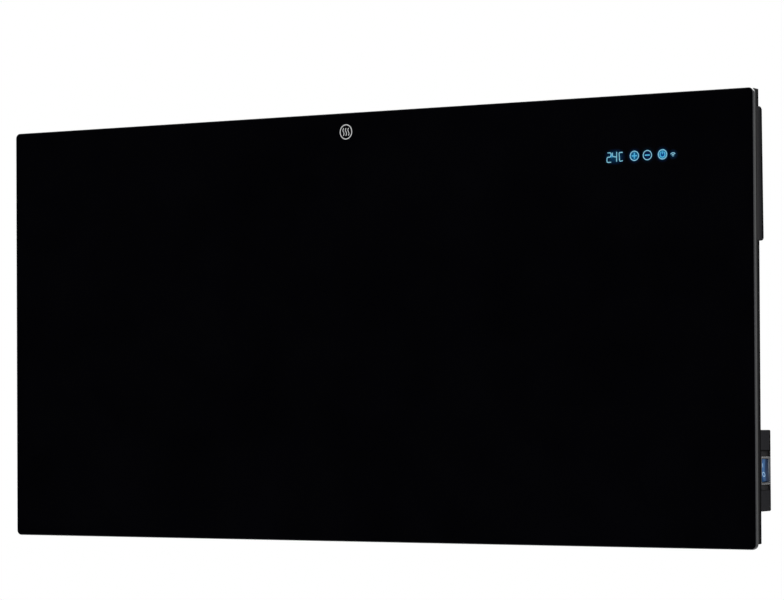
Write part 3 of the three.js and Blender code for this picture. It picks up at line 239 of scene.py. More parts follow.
def glass_material():
    """Black toughened glass: a polished face, and a ground edge that is lighter and less glossy."""
    g = Graph("black_glass")
    normal = g.facing("Y")
    edge = g.math("LESS_THAN", g.math("ABSOLUTE", normal), 0.9)
    smear = g.noise(9.0, 5.0, 0.65)
    face = g.ramp(smear, [(0.35, (0.0006, 0.0006, 0.0011)), (0.7, (0.0012, 0.0012, 0.0019))])
    ground = g.ramp(g.noise(400.0, 3.0, 0.6),
                    [(0.3, (0.007, 0.0075, 0.008)), (0.7, (0.013, 0.014, 0.015))])
    # a painted highlight on the arris between the face and the right edge, which catches more light than
    # the edge itself
    right = g.math("GREATER_THAN", g.facing("X"), 0.3)
    arris = g.math("MULTIPLY", right, g.math("LESS_THAN", normal, -0.3))
    g.link(face, g.shader.inputs["Base Color"])
    g.blend(edge, ground)
    g.blend(g.math("MULTIPLY", arris, edge), (0.052, 0.053, 0.057))
    polish = g.span(smear, 0.015, 0.035, 0.3, 0.7)
    g.link(g.math("ADD", polish, g.math("MULTIPLY", edge, 0.3)), g.shader.inputs["Roughness"])
    g.set(Specular_IOR_Level=0.2)
    return g.material


def board_material():
    """Green lacquer with the tracks in it as a fine brick pattern."""
    g = Graph("circuit_board")
    tracks = g.add("ShaderNodeTexBrick")
    tracks.inputs["Scale"].default_value = 160.0
    tracks.inputs["Mortar Size"].default_value = 0.06
    tracks.inputs["Color1"].default_value = (0.012, 0.10, 0.035, 1)
    tracks.inputs["Color2"].default_value = (0.016, 0.13, 0.045, 1)
    tracks.inputs["Mortar"].default_value = (0.05, 0.22, 0.07, 1)
    turn = g.add("ShaderNodeMapping")
    turn.inputs["Rotation"].default_value = (math.pi / 2, 0, 0)
    g.link(g.place, turn.inputs["Vector"])
    g.link(turn.outputs["Vector"], tracks.inputs["Vector"])
    g.link(tracks.outputs["Color"], g.shader.inputs["Base Color"])
    g.link(g.span(g.noise(300.0), 0.3, 0.45), g.shader.inputs["Roughness"])
    g.bump(tracks.outputs["Fac"], 0.2, 0.00005)
    return g.material


def laminated_material():
    """Thin stacked sheets, seen as fine lines."""
    g = Graph("laminations")
    wave = g.add("ShaderNodeTexWave")
    wave.inputs["Scale"].default_value = 260.0
    wave.inputs["Distortion"].default_value = 0.6
    wave.inputs["Detail"].default_value = 2.0
    g.link(g.stretched((1, 0, 0)), wave.inputs["Vector"])
    g.link(g.ramp(wave.outputs["Fac"], [(0.2, (0.14, 0.14, 0.15)), (0.8, (0.42, 0.42, 0.43))]),
           g.shader.inputs["Base Color"])
    g.link(g.span(wave.outputs["Fac"], 0.35, 0.45), g.shader.inputs["Roughness"])
    g.set(Metallic=0.8)
    g.bump(wave.outputs["Fac"], 0.25, 0.00008)
    return g.material


def light_material(name, color):
    """Light printed on the glass: even, with a slight mottle of the diffuser behind it."""
    g = Graph(name)
    mottle = g.noise(700.0, 2.0)
    g.link(g.ramp(mottle, [(0.25, shade(color, 1 - MOTTLE)), (0.75, shade(color, 1 + MOTTLE))]),
           g.shader.inputs["Emission Color"])
    g.set(Emission_Strength=1.0, Base_Color=(0.001, 0.001, 0.002, 1), Roughness=0.03, IOR=GLASS_IOR)
    return g.material


def glow_material(name, stops, squeeze):
    """Light that fades from the middle of a thin plate to its rim, in the glass's own gloss."""
    g = Graph(name)
    generated = g.add("ShaderNodeTexCoord").outputs["Generated"]
    powers = []
    for direction in ("X", "Z"):
        away = g.math("ABSOLUTE", g.math("SUBTRACT", g.axis(generated, direction), 0.5))
        powers.append(g.math("POWER", away, 2.0 * squeeze))
    radius = g.math("POWER", g.math("ADD", *powers), 0.5 / squeeze)
    g.link(g.ramp(g.math("MULTIPLY", radius, 2.0), stops), g.shader.inputs["Emission Color"])
    g.set(Emission_Strength=1.0, Base_Color=(0.0009, 0.0009, 0.0015, 1), Roughness=0.025,
          IOR=GLASS_IOR)
    return g.material


ROCKER_MIDDLE = -0.315                 # the rocker's height in the row's frame
ROCKER_DEPTHS = (-0.0320, -0.0128)     # the edges of its lit face towards the room and the wall
ROCKER_FOOT = (-0.3275, -0.3190)       # where the light comes up from its lower end
ROCKER_TOP = (-0.3030, -0.3080)        # and from its upper end
# the last stop is a painted highlight along the lit face's edge towards the wall
ROCKER_LIGHT = [(0.0, (0.002, 0.006, 0.030)), (0.08, (0.030, 0.10, 0.25)),
                (0.22, (0.046, 0.14, 0.31)), (0.42, (0.040, 0.125, 0.28)),
                (0.55, (0.002, 0.020, 0.060)), (0.72, (0.004, 0.018, 0.045)),
                (0.86, (0.012, 0.022, 0.040)), (1.0, (0.050, 0.068, 0.095))]


def rocker_material():
    """Translucent blue plastic, lit from behind: bright at its front half, dark towards the wall, with a
    painted highlight along its edge there.
    """
    g = Graph("rocker_blue")
    z = g.axis(g.place, "Z")
    # the boundary comes forward towards the raised lower end
    lean = g.math("MULTIPLY", g.math("SUBTRACT", z, ROCKER_MIDDLE), 0.25)
    depth = g.span(g.math("SUBTRACT", g.axis(g.place, "Y"), lean), 0.0, 1.0, *ROCKER_DEPTHS)
    # the lamp behind shines through the middle, less towards the ends
    fade = g.add("ShaderNodeMix", data_type="RGBA")
    fade.inputs["A"].default_value = (*BLACK, 1)
    g.link(g.math("MULTIPLY", g.span(z, 0.35, 1.0, *ROCKER_FOOT), g.span(z, 0.75, 1.0, *ROCKER_TOP)),
           fade.inputs["Factor"])
    g.link(g.ramp(depth, ROCKER_LIGHT), fade.inputs["B"])
    g.link(fade.outputs["Result"], g.shader.inputs["Emission Color"])
    g.link(g.ramp(depth, [(0.0, (0.004, 0.012, 0.045)), (1.0, (0.003, 0.005, 0.014))]),
           g.shader.inputs["Base Color"])
    g.link(g.span(g.noise(500.0), 0.2, 0.3), g.shader.inputs["Roughness"])
    g.set(Emission_Strength=0.8, Specular_IOR_Level=0.02)
    return g.material


def powder_coat(name, spec):
    return surface(name, (0.0210, 0.0210, 0.0215), 0.55, spec=spec, grain=1100.0, relief=0.25,
                   depth=0.00012)


def moulding(name, spec):
    return surface(name, (0.0240, 0.0240, 0.0255), 0.55, spec=spec, grain=1700.0, relief=0.3,
                   depth=0.00012)


# the slots whose finish is one surface without any shading of its own
PLAIN = {
    "rubber_black": dict(color=(0.012, 0.012, 0.012), rough=0.75, spec=0.25, grain=900.0, relief=0.3),
    "seal_black": dict(color=(0.006, 0.006, 0.006), rough=0.7, spec=0.15, grain=300.0, relief=0.4),
    "carbon_film": dict(color=(0.02, 0.02, 0.021), rough=0.55, grain=600.0, relief=0.1, tint=0.3),
    "copper": dict(color=(0.72, 0.34, 0.18), rough=0.28, metal=1.0, grain=350.0, relief=0.1,
                   stretch=(1, 1, 0.05)),
    "foil": dict(color=(0.8, 0.8, 0.81), rough=0.22, metal=1.0, grain=60.0, relief=0.5,
                 depth=0.0006),
    "mineral_board": dict(color=(0.62, 0.58, 0.46), rough=0.95, spec=0.1, grain=260.0, relief=0.7,
                          depth=0.0008, tint=0.2, detail=8.0, stretch=(0.3, 1, 1)),
    "white_plastic": dict(color=(0.72, 0.72, 0.69), rough=0.45, grain=900.0, relief=0.12),
    "lead_sleeve": dict(color=(0.32, 0.05, 0.035), rough=0.6, spec=0.3, grain=700.0, relief=0.25),
    "plated_steel": dict(color=(0.60, 0.60, 0.61), rough=0.27, metal=1.0, grain=900.0, relief=0.12,
                         stretch=(1, 0.2, 1)),
    "light_guide": dict(color=(0.55, 0.72, 0.80), rough=0.18, grain=400.0, relief=0.05),
    "component_black": dict(color=(0.012, 0.012, 0.013), rough=0.4, grain=900.0, relief=0.15),
    "component_blue": dict(color=(0.02, 0.10, 0.34), rough=0.3, grain=500.0, relief=0.08),
    "brass": dict(color=(0.70, 0.52, 0.20), rough=0.25, metal=1.0, grain=500.0, relief=0.08,
                  stretch=(1, 1, 0.1)),
}
finishes = {name: surface(name, **values).material for name, values in PLAIN.items()}

gloss = surface("gloss_black", (0.006, 0.006, 0.007), 0.12, spec=0.22, grain=500.0, relief=0.04,
                depth=0.00005, spread=0.03)
paint_well_reflection(gloss)
finishes.update(
    tray_black=powder_coat("tray_black", 0.03).material,
    cover_black=moulding("cover_black", 0.03).material,
    gloss_black=gloss.material,
    black_glass=glass_material(),
    circuit_board=board_material(),
    laminations=laminated_material(),
    rocker_blue=rocker_material(),
)

# the pieces whose right-hand walls get painted light and shade, less glossy than the rest of their
# finish
SIDE_SPEC = 0.008
sides = {"back_tray": powder_coat("tray_black_painted_light_and_shade", SIDE_SPEC),
         "control_cover": moulding("cover_black_painted_light_and_shade", SIDE_SPEC),
         "switch_housing": moulding("housing_black_painted_light_and_shade", SIDE_SPEC)}
wall_shading(sides["back_tray"], "back_tray", (0.0105, 0.0105, 0.011), (0.014, 0.014, 0.0145), 6.6)
wall_shading(sides["control_cover"], "control_cover", (0.0125, 0.0125, 0.014),
             (0.033, 0.032, 0.033), 7.2, lean=COVER_LEAN)
wall_shading(sides["switch_housing"], "switch_housing", (0.0155, 0.0155, 0.0175),
             (0.017, 0.017, 0.019), 6.4, shadow_lines=RECESS_SHADOW_LINES)

for entry in frame["record"]["subparts"]:
    obj = nodes[entry["node"]]
    finish = finishes[entry["material_slot"]]
    if not obj.material_slots:
        obj.data.materials.append(finish)
    if entry["node"] in sides:
        finish = sides[entry["node"]].material
    for slot in obj.material_slots:
        slot.material = finish


# ---------------------------------------------------------------- making pieces

CAP_STEPS = 6                # the sides of a stroke's round end
BEND_STEPS = 4
MITRE_LIMIT = 0.5


def piece(name, bm, material, body="panel", smooth=None):
    bmesh.ops.recalc_face_normals(bm, faces=bm.faces)
    mesh = bpy.data.meshes.new(name)
    bm.to_mesh(mesh)
    bm.free()
    if smooth is not None:
        mesh.shade_smooth()
        mesh.set_sharp_from_angle(angle=math.radians(smooth))
    obj = bpy.data.objects.new(name, mesh)
    bpy.context.collection.objects.link(obj)
    mesh.materials.append(material)
    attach(obj, body)
    return obj


def rounded(points, radius):
    """The path with each inner corner turned into a short arc."""
    out = [Vector(points[0])]
    for before, corner, after in zip(points, points[1:], points[2:]):
        before, corner, after = Vector(before), Vector(corner), Vector(after)
        reach = min(radius, (before - corner).length / 2, (after - corner).length / 2)
        start = corner + (before - corner).normalized() * reach
        end = corner + (after - corner).normalized() * reach
        for i in range(BEND_STEPS + 1):
            t = i / BEND_STEPS
            out.append((1 - t) ** 2 * start + 2 * t * (1 - t) * corner + t * t * end)
    return out + [Vector(points[-1])]


def stroke_sides(path, width, closed):
    """The two sides of a stroke along the path."""
    count = len(path)
    left, right = [], []
    for i, p in enumerate(path):
        following = path[(i + 1) % count] if closed or i + 1 < count else p
        previous = path[i - 1] if closed or i else p
        onward, inward = following - p, p - previous
        run_in = inward.normalized() if inward.length > TINY else onward.normalized()
        run_out = onward.normalized() if onward.length > TINY else run_in
        run = (run_in + run_out).normalized()
        side = Vector((-run.y, run.x)) * (width / 2) / max(MITRE_LIMIT, run.dot(run_in))
        left.append(p + side)
        right.append(p - side)
    return left, right


def round_cap(centre, start, width):
    """The points of a half circle about the centre, between the stroke's two sides."""
    base = math.atan2(start.y, start.x)
    angles = [base - math.pi * k / CAP_STEPS for k in range(1, CAP_STEPS)]
    return [centre + Vector((math.cos(angle), math.sin(angle))) * width / 2 for angle in angles]


def flat_stroke(bm, points, width, front, back, closed=False):
    """A stroke of even width along a path of (x, z) in mm, standing between two depths."""
    path = [Vector(p) for p in points]
    n = len(path)
    left, right = stroke_sides(path, width, closed)
    if closed:
        rings = [[bm.verts.new(at(p.x, depth, p.y)) for p in loop]
                 for loop in (left, right) for depth in (front, back)]
        outer_front, outer_back, inner_front, inner_back = rings
        for i in range(n):
            j = (i + 1) % n
            for a, b in ((outer_front, inner_front), (outer_back, inner_back),
                         (outer_front, outer_back), (inner_front, inner_back)):
                bm.faces.new((a[i], a[j], b[j], b[i]))
        return
    first = (path[1] - path[0]).normalized()
    last = (path[-1] - path[-2]).normalized()
    rim = left + round_cap(path[-1], Vector((-last.y, last.x)), width)
    rim += right[::-1] + round_cap(path[0], Vector((first.y, -first.x)), width)
    fronts = [bm.verts.new(at(p.x, front, p.y)) for p in rim]
    backs = [bm.verts.new(at(p.x, back, p.y)) for p in rim]
    for i in range(len(rim)):
        j = (i + 1) % len(rim)
        bm.faces.new((fronts[i], fronts[j], backs[j], backs[i]))
    end = n + CAP_STEPS - 1          # where the rim turns back along the right side
    for verts in (fronts, backs):
        for i in range(n - 1):
            bm.faces.new((verts[i], verts[i + 1], verts[end + n - 2 - i], verts[end + n - 1 - i]))
        bm.faces.new(verts[n - 1:end + 1])
        bm.faces.new(verts[end + n - 1:] + [verts[0]])


def ellipse(x, z, a, b, count=48):
    return [(x + a * math.cos(2 * math.pi * i / count), z + b * math.sin(2 * math.pi * i / count))
            for i in range(count)]


def round_rectangle(x0, x1, z0, z1, radius, steps):
    out = []
    for cx, cz, start in ((x1 - radius, z1 - radius, 0), (x0 + radius, z1 - radius, 90),
                          (x0 + radius, z0 + radius, 180), (x1 - radius, z0 + radius, 270)):
        for i in range(steps + 1):
            angle = math.radians(start + 90 * i / steps)
            out.append((cx + radius * math.cos(angle), cz + radius * math.sin(angle)))
    return out


def lathe(bm, profile, centre, sides):
    """A turned form about a line along +Y through the centre, from (radius, y) in mm."""
    rings = []
    for radius, y in profile:
        if radius < TINY:
            rings.append([bm.verts.new(centre + Vector((0, y * MM, 0)))])
            continue
        turns = [2 * math.pi * i / sides for i in range(sides)]
        rings.append([bm.verts.new(centre + Vector((radius * MM * math.cos(turn), y * MM,
                                                    radius * MM * math.sin(turn))))
                      for turn in turns])
    for a, b in zip(rings, rings[1:]):
        for i in range(sides):
            j = (i + 1) % sides
            if len(a) == 1:
                bm.faces.new((a[0], b[i], b[j]))
            elif len(b) == 1:
                bm.faces.new((a[i], b[0], a[j]))
            else:
                bm.faces.new((a[i], b[i], b[j], a[j]))


# ---------------------------------------------------------------- light behind the glass

# Depths in mm from the front of the glass. A light stands a hair out of it, so that it is seen.
GLOW_FRONT, GLOW_JOINT_FRONT, LIGHT_FRONT, PRINT_FRONT, LIGHT_BACK = -0.02, -0.03, -0.07, -0.05, 0.02
KEY_GLOW = 9.5               # sizes of the keys, in mm
RING = 5.1
RING_STROKE = 0.95
SIGN_STROKE = 1.4
POWER_STROKE = 1.1
POWER_ARC = 2.9
FAN_STROKE = 1.0
DIGIT_STROKE = 1.1

pale = light_material("light_pale", (0.24, 0.52, 0.68))
cyan = light_material("light_cyan", (0.08, 0.42, 0.68))
steel_blue = light_material("light_digits", (0.20, 0.50, 0.64))
printed = surface("printed_white", (0.62, 0.62, 0.62), 0.4, grain=500.0, relief=0.05,
                  tint=0.08).material


def glow(name, outline, stops, front=GLOW_FRONT, squeeze=1.0):
    """A thin plate with the outline given as (x, z) in mm, bright in its middle."""
    bm = bmesh.new()
    fronts = [bm.verts.new(at(x, front, z)) for x, z in outline]
    backs = [bm.verts.new(at(x, LIGHT_BACK, z)) for x, z in outline]
    bm.faces.new(fronts)
    bm.faces.new(backs[::-1])
    for i in range(len(outline)):
        j = (i + 1) % len(outline)
        bm.faces.new((fronts[i], backs[i], backs[j], fronts[j]))
    piece(name, bm, glow_material(name, stops, squeeze))


def symbol(name, strokes, material, front=LIGHT_FRONT):
    """A sign made of strokes, each given as its path, its width and whether it is closed."""
    bm = bmesh.new()
    for points, width, closed in strokes:
        flat_stroke(bm, points, width, front, LIGHT_BACK, closed)
    piece(name, bm, material)


def from_glass(corner):
    """A point of the row's frame in mm from the middle of the glass's front."""
    return Vector(corner) / MM + Vector((0, WALL, RAIL))


def middle(node):
    low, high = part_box(node)
    return from_glass((Vector(low) + Vector(high)) / 2)


KEY = middle("light_guide_plus").z
plus_x, minus_x, power_x, signal_x = (middle(f"light_guide_{key}").x
                                      for key in ("plus", "minus", "power", "signal"))

glow("glow_plus", ellipse(plus_x, KEY, KEY_GLOW, KEY_GLOW),
     [(0.0, (0.006, 0.11, 0.25)), (0.35, (0.003, 0.085, 0.21)), (0.54, (0.003, 0.07, 0.15)),
      (0.68, (0.0003, 0.003, 0.012)), (0.98, BLACK)])
glow("glow_minus", ellipse(minus_x, KEY, KEY_GLOW, KEY_GLOW),
     [(0.0, (0.001, 0.02, 0.08)), (0.4, (0.0005, 0.004, 0.03)), (0.54, (0.001, 0.03, 0.05)),
      (0.68, (0.0002, 0.003, 0.007)), (0.98, BLACK)])
glow("glow_power", ellipse(power_x, KEY, KEY_GLOW, KEY_GLOW),
     [(0.0, (0.002, 0.05, 0.20)), (0.22, (0.002, 0.06, 0.24)), (0.34, (0.008, 0.16, 0.32)),
      (0.54, (0.008, 0.15, 0.27)), (0.68, (0.0003, 0.003, 0.012)), (0.98, BLACK)])
glow("glow_signal", ellipse(signal_x, KEY - 0.6, 6.5, 6.0),
     [(0.0, (0.006, 0.05, 0.09)), (0.5, (0.0006, 0.008, 0.025)), (0.98, BLACK)])
display_low, display_high = (from_glass(corner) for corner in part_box("digit_display"))
glow("glow_digits", round_rectangle(display_low.x - 2, display_high.x + 2, display_low.z - 1,
                                    display_high.z + 1, 6.0, 8),
     [(0.0, (0.002, 0.038, 0.09)), (0.45, (0.001, 0.020, 0.055)), (0.75, (0.0003, 0.004, 0.014)),
      (0.98, BLACK)], squeeze=1.3)


def ring(name, x):
    symbol(name, [(ellipse(x, KEY, RING, RING), RING_STROKE, True)], pale)


def clock_arc(x, z, radius, degrees):
    """Points of an arc, by degrees clockwise from its top."""
    return [(x + radius * math.sin(math.radians(a)), z + radius * math.cos(math.radians(a)))
            for a in degrees]


ring("ring_plus", plus_x)
symbol("sign_plus", [([(plus_x - 2.6, KEY), (plus_x + 2.6, KEY)], SIGN_STROKE, False),
                     ([(plus_x, KEY - 2.9), (plus_x, KEY - 0.7)], SIGN_STROKE, False),
                     ([(plus_x, KEY + 0.7), (plus_x, KEY + 2.9)], SIGN_STROKE, False)], cyan)
ring("ring_minus", minus_x)
symbol("sign_minus", [([(minus_x - 2.5, KEY), (minus_x + 2.5, KEY)], SIGN_STROKE, False)], cyan)
ring("ring_power", power_x)
symbol("sign_power", [(clock_arc(power_x, KEY - 0.2, POWER_ARC, range(40, 321, 14)),
                       POWER_STROKE, False),
                      ([(power_x, KEY + 0.6), (power_x, KEY + 3.6)], POWER_STROKE, False)], cyan)
fan = [(clock_arc(signal_x, KEY - 2.5, radius, range(-46, 47, 8)), FAN_STROKE, False)
       for radius in (1.7, 3.6)]
fan.append(([(signal_x - 0.15, KEY - 2.4), (signal_x + 0.15, KEY - 2.4)], 1.1, False))
symbol("sign_signal", fan, pale)

display = middle("digit_display")


def digit(name, *paths):
    """Segment paths given in mm from the middle of the display, each with its corners' bend."""
    symbol(name, [(rounded([(display.x + x, display.z + z) for x, z in points], bend),
                   DIGIT_STROKE, False) for points, bend in paths], steel_blue)


digit("digit_two", ([(-8.9, 4.7), (-4.7, 4.7), (-5.0, 0.1), (-9.8, -0.3), (-9.9, -5.9),
                     (-5.2, -5.8)], 1.6))
digit("digit_four", ([(-3.0, 4.3), (-3.1, 0.6), (1.8, -0.3)], 1.0), ([(2.2, 4.9), (2.0, -5.1)], 0.0))
digit("digit_c", ([(9.0, 4.5), (5.1, 4.5), (5.8, -5.4), (9.1, -4.8)], 1.4))
glow("glow_joint", ellipse(display.x - 4.0, display.z + 1.2, 2.6, 3.6),
     [(0.0, (0.02, 0.30, 0.62)), (0.4, (0.01, 0.16, 0.36)), (0.9, (0.001, 0.016, 0.05)),
      (0.98, BLACK)], front=GLOW_JOINT_FRONT)

MARK_X, MARK_Z = -16.4, 227.9
WAVE_STEPS = 12
mark = [(ellipse(MARK_X, MARK_Z, 7.9, 8.3), 1.15, True)]
for dx in (-3.4, 0.0, 3.4):
    mark.append(([(MARK_X + dx + 0.75 * math.sin(t / WAVE_STEPS * 2 * math.pi),
                   MARK_Z - 4.1 + 8.2 * t / WAVE_STEPS) for t in range(WAVE_STEPS + 1)], 1.0, False))
symbol("heat_mark", mark, printed, front=PRINT_FRONT)


# ---------------------------------------------------------------- screws with a cross recess

# sizes in mm, heights from the top of the head
TIP_RADIUS, TIP_LENGTH, SHANK_RADIUS = 1.1, 0.6, 1.5
HEAD_RADIUS, HEAD_HEIGHT, HEAD_EDGE = 3.2, 2.2, 1.25
DOME_RUN, DOME_RISE, DOME_TAPER, DOME_TOP = 1.7, 1.2, 0.25, -0.03
SCREW_SIDES = 32
RECESS_TURN = 0.3                                # radians
RECESS_HALF = 0.36                               # half the thickness of one wing
RECESS_LEVELS = ((0.4, 1.75), (-1.5, 0.75))      # height and half length of a wing


def recess_cutter(centre):
    """Two crossed wings that narrow downwards."""
    cutter = bmesh.new()
    for turn in (0.0, math.pi / 2):
        spin = Matrix.Rotation(turn + RECESS_TURN, 4, "Y")
        verts = []
        for y, half in RECESS_LEVELS:
            for sx, sz in ((-1, -1), (1, -1), (1, 1), (-1, 1)):
                corner = Vector((sx * half * MM, y * MM, sz * RECESS_HALF * MM))
                verts.append(cutter.verts.new(centre + spin @ corner))
        a, b = verts[:4], verts[4:]
        cutter.faces.new(a)
        cutter.faces.new(b[::-1])
        for i in range(4):
            cutter.faces.new((a[i], b[i], b[(i + 1) % 4], a[(i + 1) % 4]))
    bmesh.ops.recalc_face_normals(cutter, faces=cutter.faces)
    mesh = bpy.data.meshes.new("recess")
    cutter.to_mesh(mesh)
    cutter.free()
    tool = bpy.data.objects.new("recess", mesh)
    bpy.context.collection.objects.link(tool)
    return tool


def cross_screw(node):
    low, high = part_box(node)
    centre = Vector(((low[0] + high[0]) / 2, high[1], (low[2] + high[2]) / 2))
    length = (high[1] - low[1]) / MM
    profile = [(0, -length), (TIP_RADIUS, -length), (SHANK_RADIUS, -length + TIP_LENGTH),
               (SHANK_RADIUS, -HEAD_HEIGHT), (HEAD_RADIUS, -HEAD_HEIGHT), (HEAD_RADIUS, -HEAD_EDGE)]
    for degrees in (20, 40, 60, 80):
        angle = math.radians(degrees)
        profile.append((HEAD_RADIUS - DOME_RUN * (1 - math.cos(angle)) - DOME_TAPER * degrees / 90,
                        -HEAD_EDGE + DOME_RISE * math.sin(angle)))
    profile.append((0, DOME_TOP))
    bm = bmesh.new()
    lathe(bm, profile, centre, SCREW_SIDES)
    screw = piece(f"{node}_cross_head", bm, finishes["plated_steel"], smooth=35)
    tool = recess_cutter(centre)
    modifier = screw.modifiers.new("recess", "BOOLEAN")
    modifier.object = tool
    modifier.solver = "EXACT"
    modifier.use_self = True
    bpy.context.view_layer.update()
    result = bpy.data.meshes.new_from_object(
        screw.evaluated_get(bpy.context.evaluated_depsgraph_get()))
    screw.modifiers.clear()
    screw.data = result
    bpy.data.objects.remove(tool)
    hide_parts(node)


for screw_node in sorted(nodes):
    if "_screw_" in screw_node:
        cross_screw(screw_node)


# ---------------------------------------------------------------- spot welds on the rails

WELD_FACE = 18.3 + 1.2       # the rear face of the rails' feet, mm behind the front of the glass
WELD_ROWS = (-22.0, 22.0)    # mm from the rail's middle line
WELD_START, WELD_PITCH, WELD_COUNT = -252.0, 72.0, 8
WELD_PROFILE = [(0, 0.02), (1.7, 0.05), (2.2, 0.24), (2.8, 0.2), (3.1, -0.05)]
WELD_SIDES = 20


def weld_marks(name, z_middle):
    """Shallow round dents with a raised rim, where the rail's feet are welded to the tray."""
    bm = bmesh.new()
    for row in WELD_ROWS:
        for i in range(WELD_COUNT):
            centre = at(WELD_START + WELD_PITCH * i, WELD_FACE, z_middle + row)
            lathe(bm, WELD_PROFILE, centre, WELD_SIDES)
    piece(name, bm, finishes["tray_black"], smooth=50)


weld_marks("weld_marks_hanging_rail", 150.0)
weld_marks("weld_marks_spacer_rail", -150.0)


# ---------------------------------------------------------------- the bezel's raised rim

RIM_WIDTH, RIM_HEIGHT = 0.9, 0.35      # mm
RIM_INSET = 0.6                        # from the frame's outer edge to the bead
RIM_SUNK = 0.05
RIM_CORNER = 0.8
RIM_STEPS = 6

# glossy, in a grey lighter than the black bezel: a painted highlight along the bezel's edge
rim_painted_highlight = surface("bezel_rim", (0.062, 0.066, 0.073), 0.18, spec=0.5, grain=500.0, relief=0.05,
                    depth=0.00005).material


def bezel_rim():
    """A rounded bead along the outer edge of the switch frame's face, whose grey colour is a painted
    highlight.
    """
    low, high = (Vector(corner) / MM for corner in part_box("switch_frame"))
    bm = bmesh.new()
    loops = []
    for k in range(RIM_STEPS + 1):
        angle = math.pi * k / RIM_STEPS
        grow = -RIM_WIDTH / 2 * math.cos(angle)
        inset = RIM_INSET + RIM_WIDTH / 2 - grow
        loop = round_rectangle(low.y + inset, high.y - inset, low.z + inset, high.z - inset,
                               RIM_CORNER + grow, 4)
        x = high.x - RIM_SUNK + RIM_HEIGHT * math.sin(angle)
        loops.append([bm.verts.new(Vector((x, y, z)) * MM) for y, z in loop])
    count = len(loops[0])
    for a, b in zip(loops, loops[1:] + loops[:1]):
        for i in range(count):
            j = (i + 1) % count
            bm.faces.new((a[i], a[j], b[j], b[i]))
    piece("bezel_rim", bm, rim_painted_highlight, smooth=60)


bezel_rim()


# ---------------------------------------------------------------- marks on the rocker

# mm, but for the angles
ROCKER_RADIUS = 12.6         # from the pivot to the ends of the face
PIVOT_DEPTH, PRESSED_DEPTH = 4.3, 1.4            # below the bezel's face
DISH = 1.1
THROW = math.radians(8.0)
MARK_RISE, MARK_SUNK = 0.12, -0.1

rocker_print = light_material("rocker_print", (0.17, 0.33, 0.52))
rest = Matrix.Translation(at(493.9, 29.7, -165.0)) @ Matrix.Rotation(-THROW, 4, "Y")


def rocker_face(z):
    """How far the dished face stands out from the pivot at height z, both in mm."""
    face_angle = math.asin((PIVOT_DEPTH - PRESSED_DEPTH) / ROCKER_RADIUS) + THROW
    edge_x, edge_z = ROCKER_RADIUS * math.sin(face_angle), ROCKER_RADIUS * math.cos(face_angle)
    radius = (edge_z ** 2 + DISH ** 2) / (2 * DISH)
    return edge_x - DISH + radius - math.sqrt(radius ** 2 - z ** 2)


def rocker_mark(name, points, width, closed):
    """A raised stroke that follows the rocker's dished face. Points are (y, z) from the pivot, in mm."""
    flat = bmesh.new()
    flat_stroke(flat, points, width, 0.0, 1.0, closed)
    bm = bmesh.new()
    made = {}
    for v in flat.verts:
        y, depth, z = from_glass(v.co)
        x = rocker_face(z) + (MARK_RISE if depth < 0.5 else MARK_SUNK)
        made[v] = bm.verts.new(rest @ Vector((x * MM, y * MM, z * MM)))
    for f in flat.faces:
        bm.faces.new([made[v] for v in f.verts])
    flat.free()
    piece(name, bm, rocker_print, body="rocker", smooth=40)


rocker_mark("rocker_mark_off", ellipse(-5.2, -4.6, 3.2, 2.3, 32), 1.0, True)
rocker_mark("rocker_mark_on", [(-5.2, 3.4), (-5.2, 5.2), (-5.2, 7.0)], 1.1, False)


# ---------------------------------------------------------------- camera

YAW, PITCH, ROLL = 0.53473, 0.01637, -0.00529
CAMERA_PLACE = at(1827.1, -3009.8, -96.5)
SENSOR = 36.0
PICTURE_WIDTH, FOCAL_LENGTH, SHIFT = 784.0, 3027.1, 60.0      # pixels

right = Vector((math.cos(YAW), math.sin(YAW), 0))
ahead = Vector((-math.sin(YAW), math.cos(YAW), 0))
up = Vector((0, 0, 1))
view = ahead * math.cos(PITCH) + up * math.sin(PITCH)
rise = -ahead * math.sin(PITCH) + up * math.cos(PITCH)
side = right * math.cos(ROLL) + rise * math.sin(ROLL)
head = -right * math.sin(ROLL) + rise * math.cos(ROLL)
camera_data = bpy.data.cameras.new("camera")
camera_data.sensor_fit = "HORIZONTAL"
camera_data.sensor_width = SENSOR
camera_data.lens = FOCAL_LENGTH * SENSOR / PICTURE_WIDTH
camera_data.shift_y = SHIFT / PICTURE_WIDTH
camera_data.clip_end = 60.0
camera = bpy.data.objects.new("camera", camera_data)
bpy.context.collection.objects.link(camera)
turned = Matrix((side, head, -view)).transposed().to_4x4()
camera.matrix_world = Matrix.Translation(CAMERA_PLACE) @ turned
bpy.context.scene.camera = camera


# ---------------------------------------------------------------- light and surroundings

def area_light(name, place, target, size, power):
    data = bpy.data.lights.new(name, "AREA")
    data.shape = "RECTANGLE"
    data.size, data.size_y = size
    data.energy = power
    obj = bpy.data.objects.new(name, data)
    bpy.context.collection.objects.link(obj)
    look = (Vector(target) - Vector(place)).to_track_quat("-Z", "Y")
    obj.matrix_world = Matrix.Translation(place) @ look.to_matrix().to_4x4()


area_light("key", (2.6, -0.9, 1.9), (0.3, 0, -0.15), (1.6, 1.6), 20)
area_light("fill", (0.2, 2.6, 1.6), (0, 0, -0.15), (2.0, 1.4), 45)

BACKDROP_EDGE = (-0.05, 0.25)          # where the backdrop starts and is full, by the direction's Y
ROOM_LIGHT = 0.85
MIRROR_LOSS = 0.835                    # how much less of it a mirrored ray sees

world = bpy.data.worlds.new("studio")
bpy.context.scene.world = world
world.use_nodes = True
world.node_tree.nodes.clear()
room = Tree(world.node_tree)
ray = room.add("ShaderNodeLightPath")
direction = room.add("ShaderNodeTexCoord").outputs["Generated"]
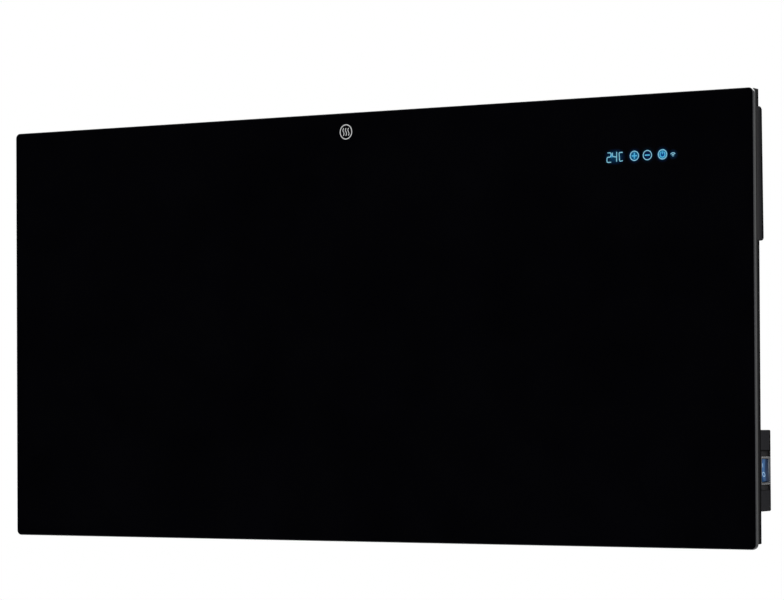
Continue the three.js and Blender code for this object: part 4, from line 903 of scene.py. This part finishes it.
# the white backdrop stands behind the heater; the room in front of it is dark
behind = room.span(room.axis(direction, "Y"), 0.0, 1.0, *BACKDROP_EDGE)
behind.node.interpolation_type = "SMOOTHSTEP"
mirrored = room.math("MAXIMUM", ray.outputs["Is Glossy Ray"], ray.outputs["Is Transmission Ray"])
white_seen = room.math("MAXIMUM", ray.outputs["Is Camera Ray"],
                       room.math("MULTIPLY", mirrored, behind))
dim = room.math("SUBTRACT", ROOM_LIGHT, room.math("MULTIPLY", mirrored, MIRROR_LOSS))
unseen = room.math("MULTIPLY", room.math("SUBTRACT", 1.0, white_seen), dim)
sky = room.add("ShaderNodeBackground")
sky.inputs["Color"].default_value = (1, 1, 1, 1)
room.link(room.math("ADD", white_seen, unseen), sky.inputs["Strength"])
room.link(sky.outputs["Background"], room.add("ShaderNodeOutputWorld").inputs["Surface"])

FLOOR_RADIUS, FLOOR_SIDES, FLOOR_PLACE = 3.2, 96, (0, 0.6, -0.78)      # metres
FLOOR_FADE = (1.2, 3.0)                # distances from the origin between which it darkens
FLOOR_LIGHT, FLOOR_DARK = (0.9, 0.9, 0.9), (0.02, 0.02, 0.02)
FLOOR_LIFT = 0.24

bm = bmesh.new()
bmesh.ops.create_circle(bm, cap_ends=True, radius=FLOOR_RADIUS, segments=FLOOR_SIDES)
bmesh.ops.translate(bm, verts=bm.verts, vec=FLOOR_PLACE)
floor_mesh = bpy.data.meshes.new("floor")
bm.to_mesh(floor_mesh)
bm.free()
floor = bpy.data.objects.new("floor", floor_mesh)
bpy.context.collection.objects.link(floor)
# the floor darkens towards its rim, so that the glass mirrors no hard edge; the camera sees it white
ground = Graph("floor")
distance = ground.add("ShaderNodeVectorMath", operation="LENGTH")
ground.link(ground.place, distance.inputs[0])
fading = ground.span(distance.outputs["Value"], 0.0, 1.0, *FLOOR_FADE)
ground.link(ground.ramp(fading, [(0.0, FLOOR_LIGHT), (1.0, FLOOR_DARK)]),
            ground.shader.inputs["Base Color"])
ground.set(Roughness=0.9, Specular_IOR_Level=0.1, Emission_Color=(1, 1, 1, 1))
seen = ground.add("ShaderNodeLightPath").outputs["Is Camera Ray"]
ground.link(ground.math("MULTIPLY", seen, ground.math("ADD", fading, FLOOR_LIFT)),
            ground.shader.inputs["Emission Strength"])
floor_mesh.materials.append(ground.material)

bpy.context.scene.view_settings.view_transform = "Standard"
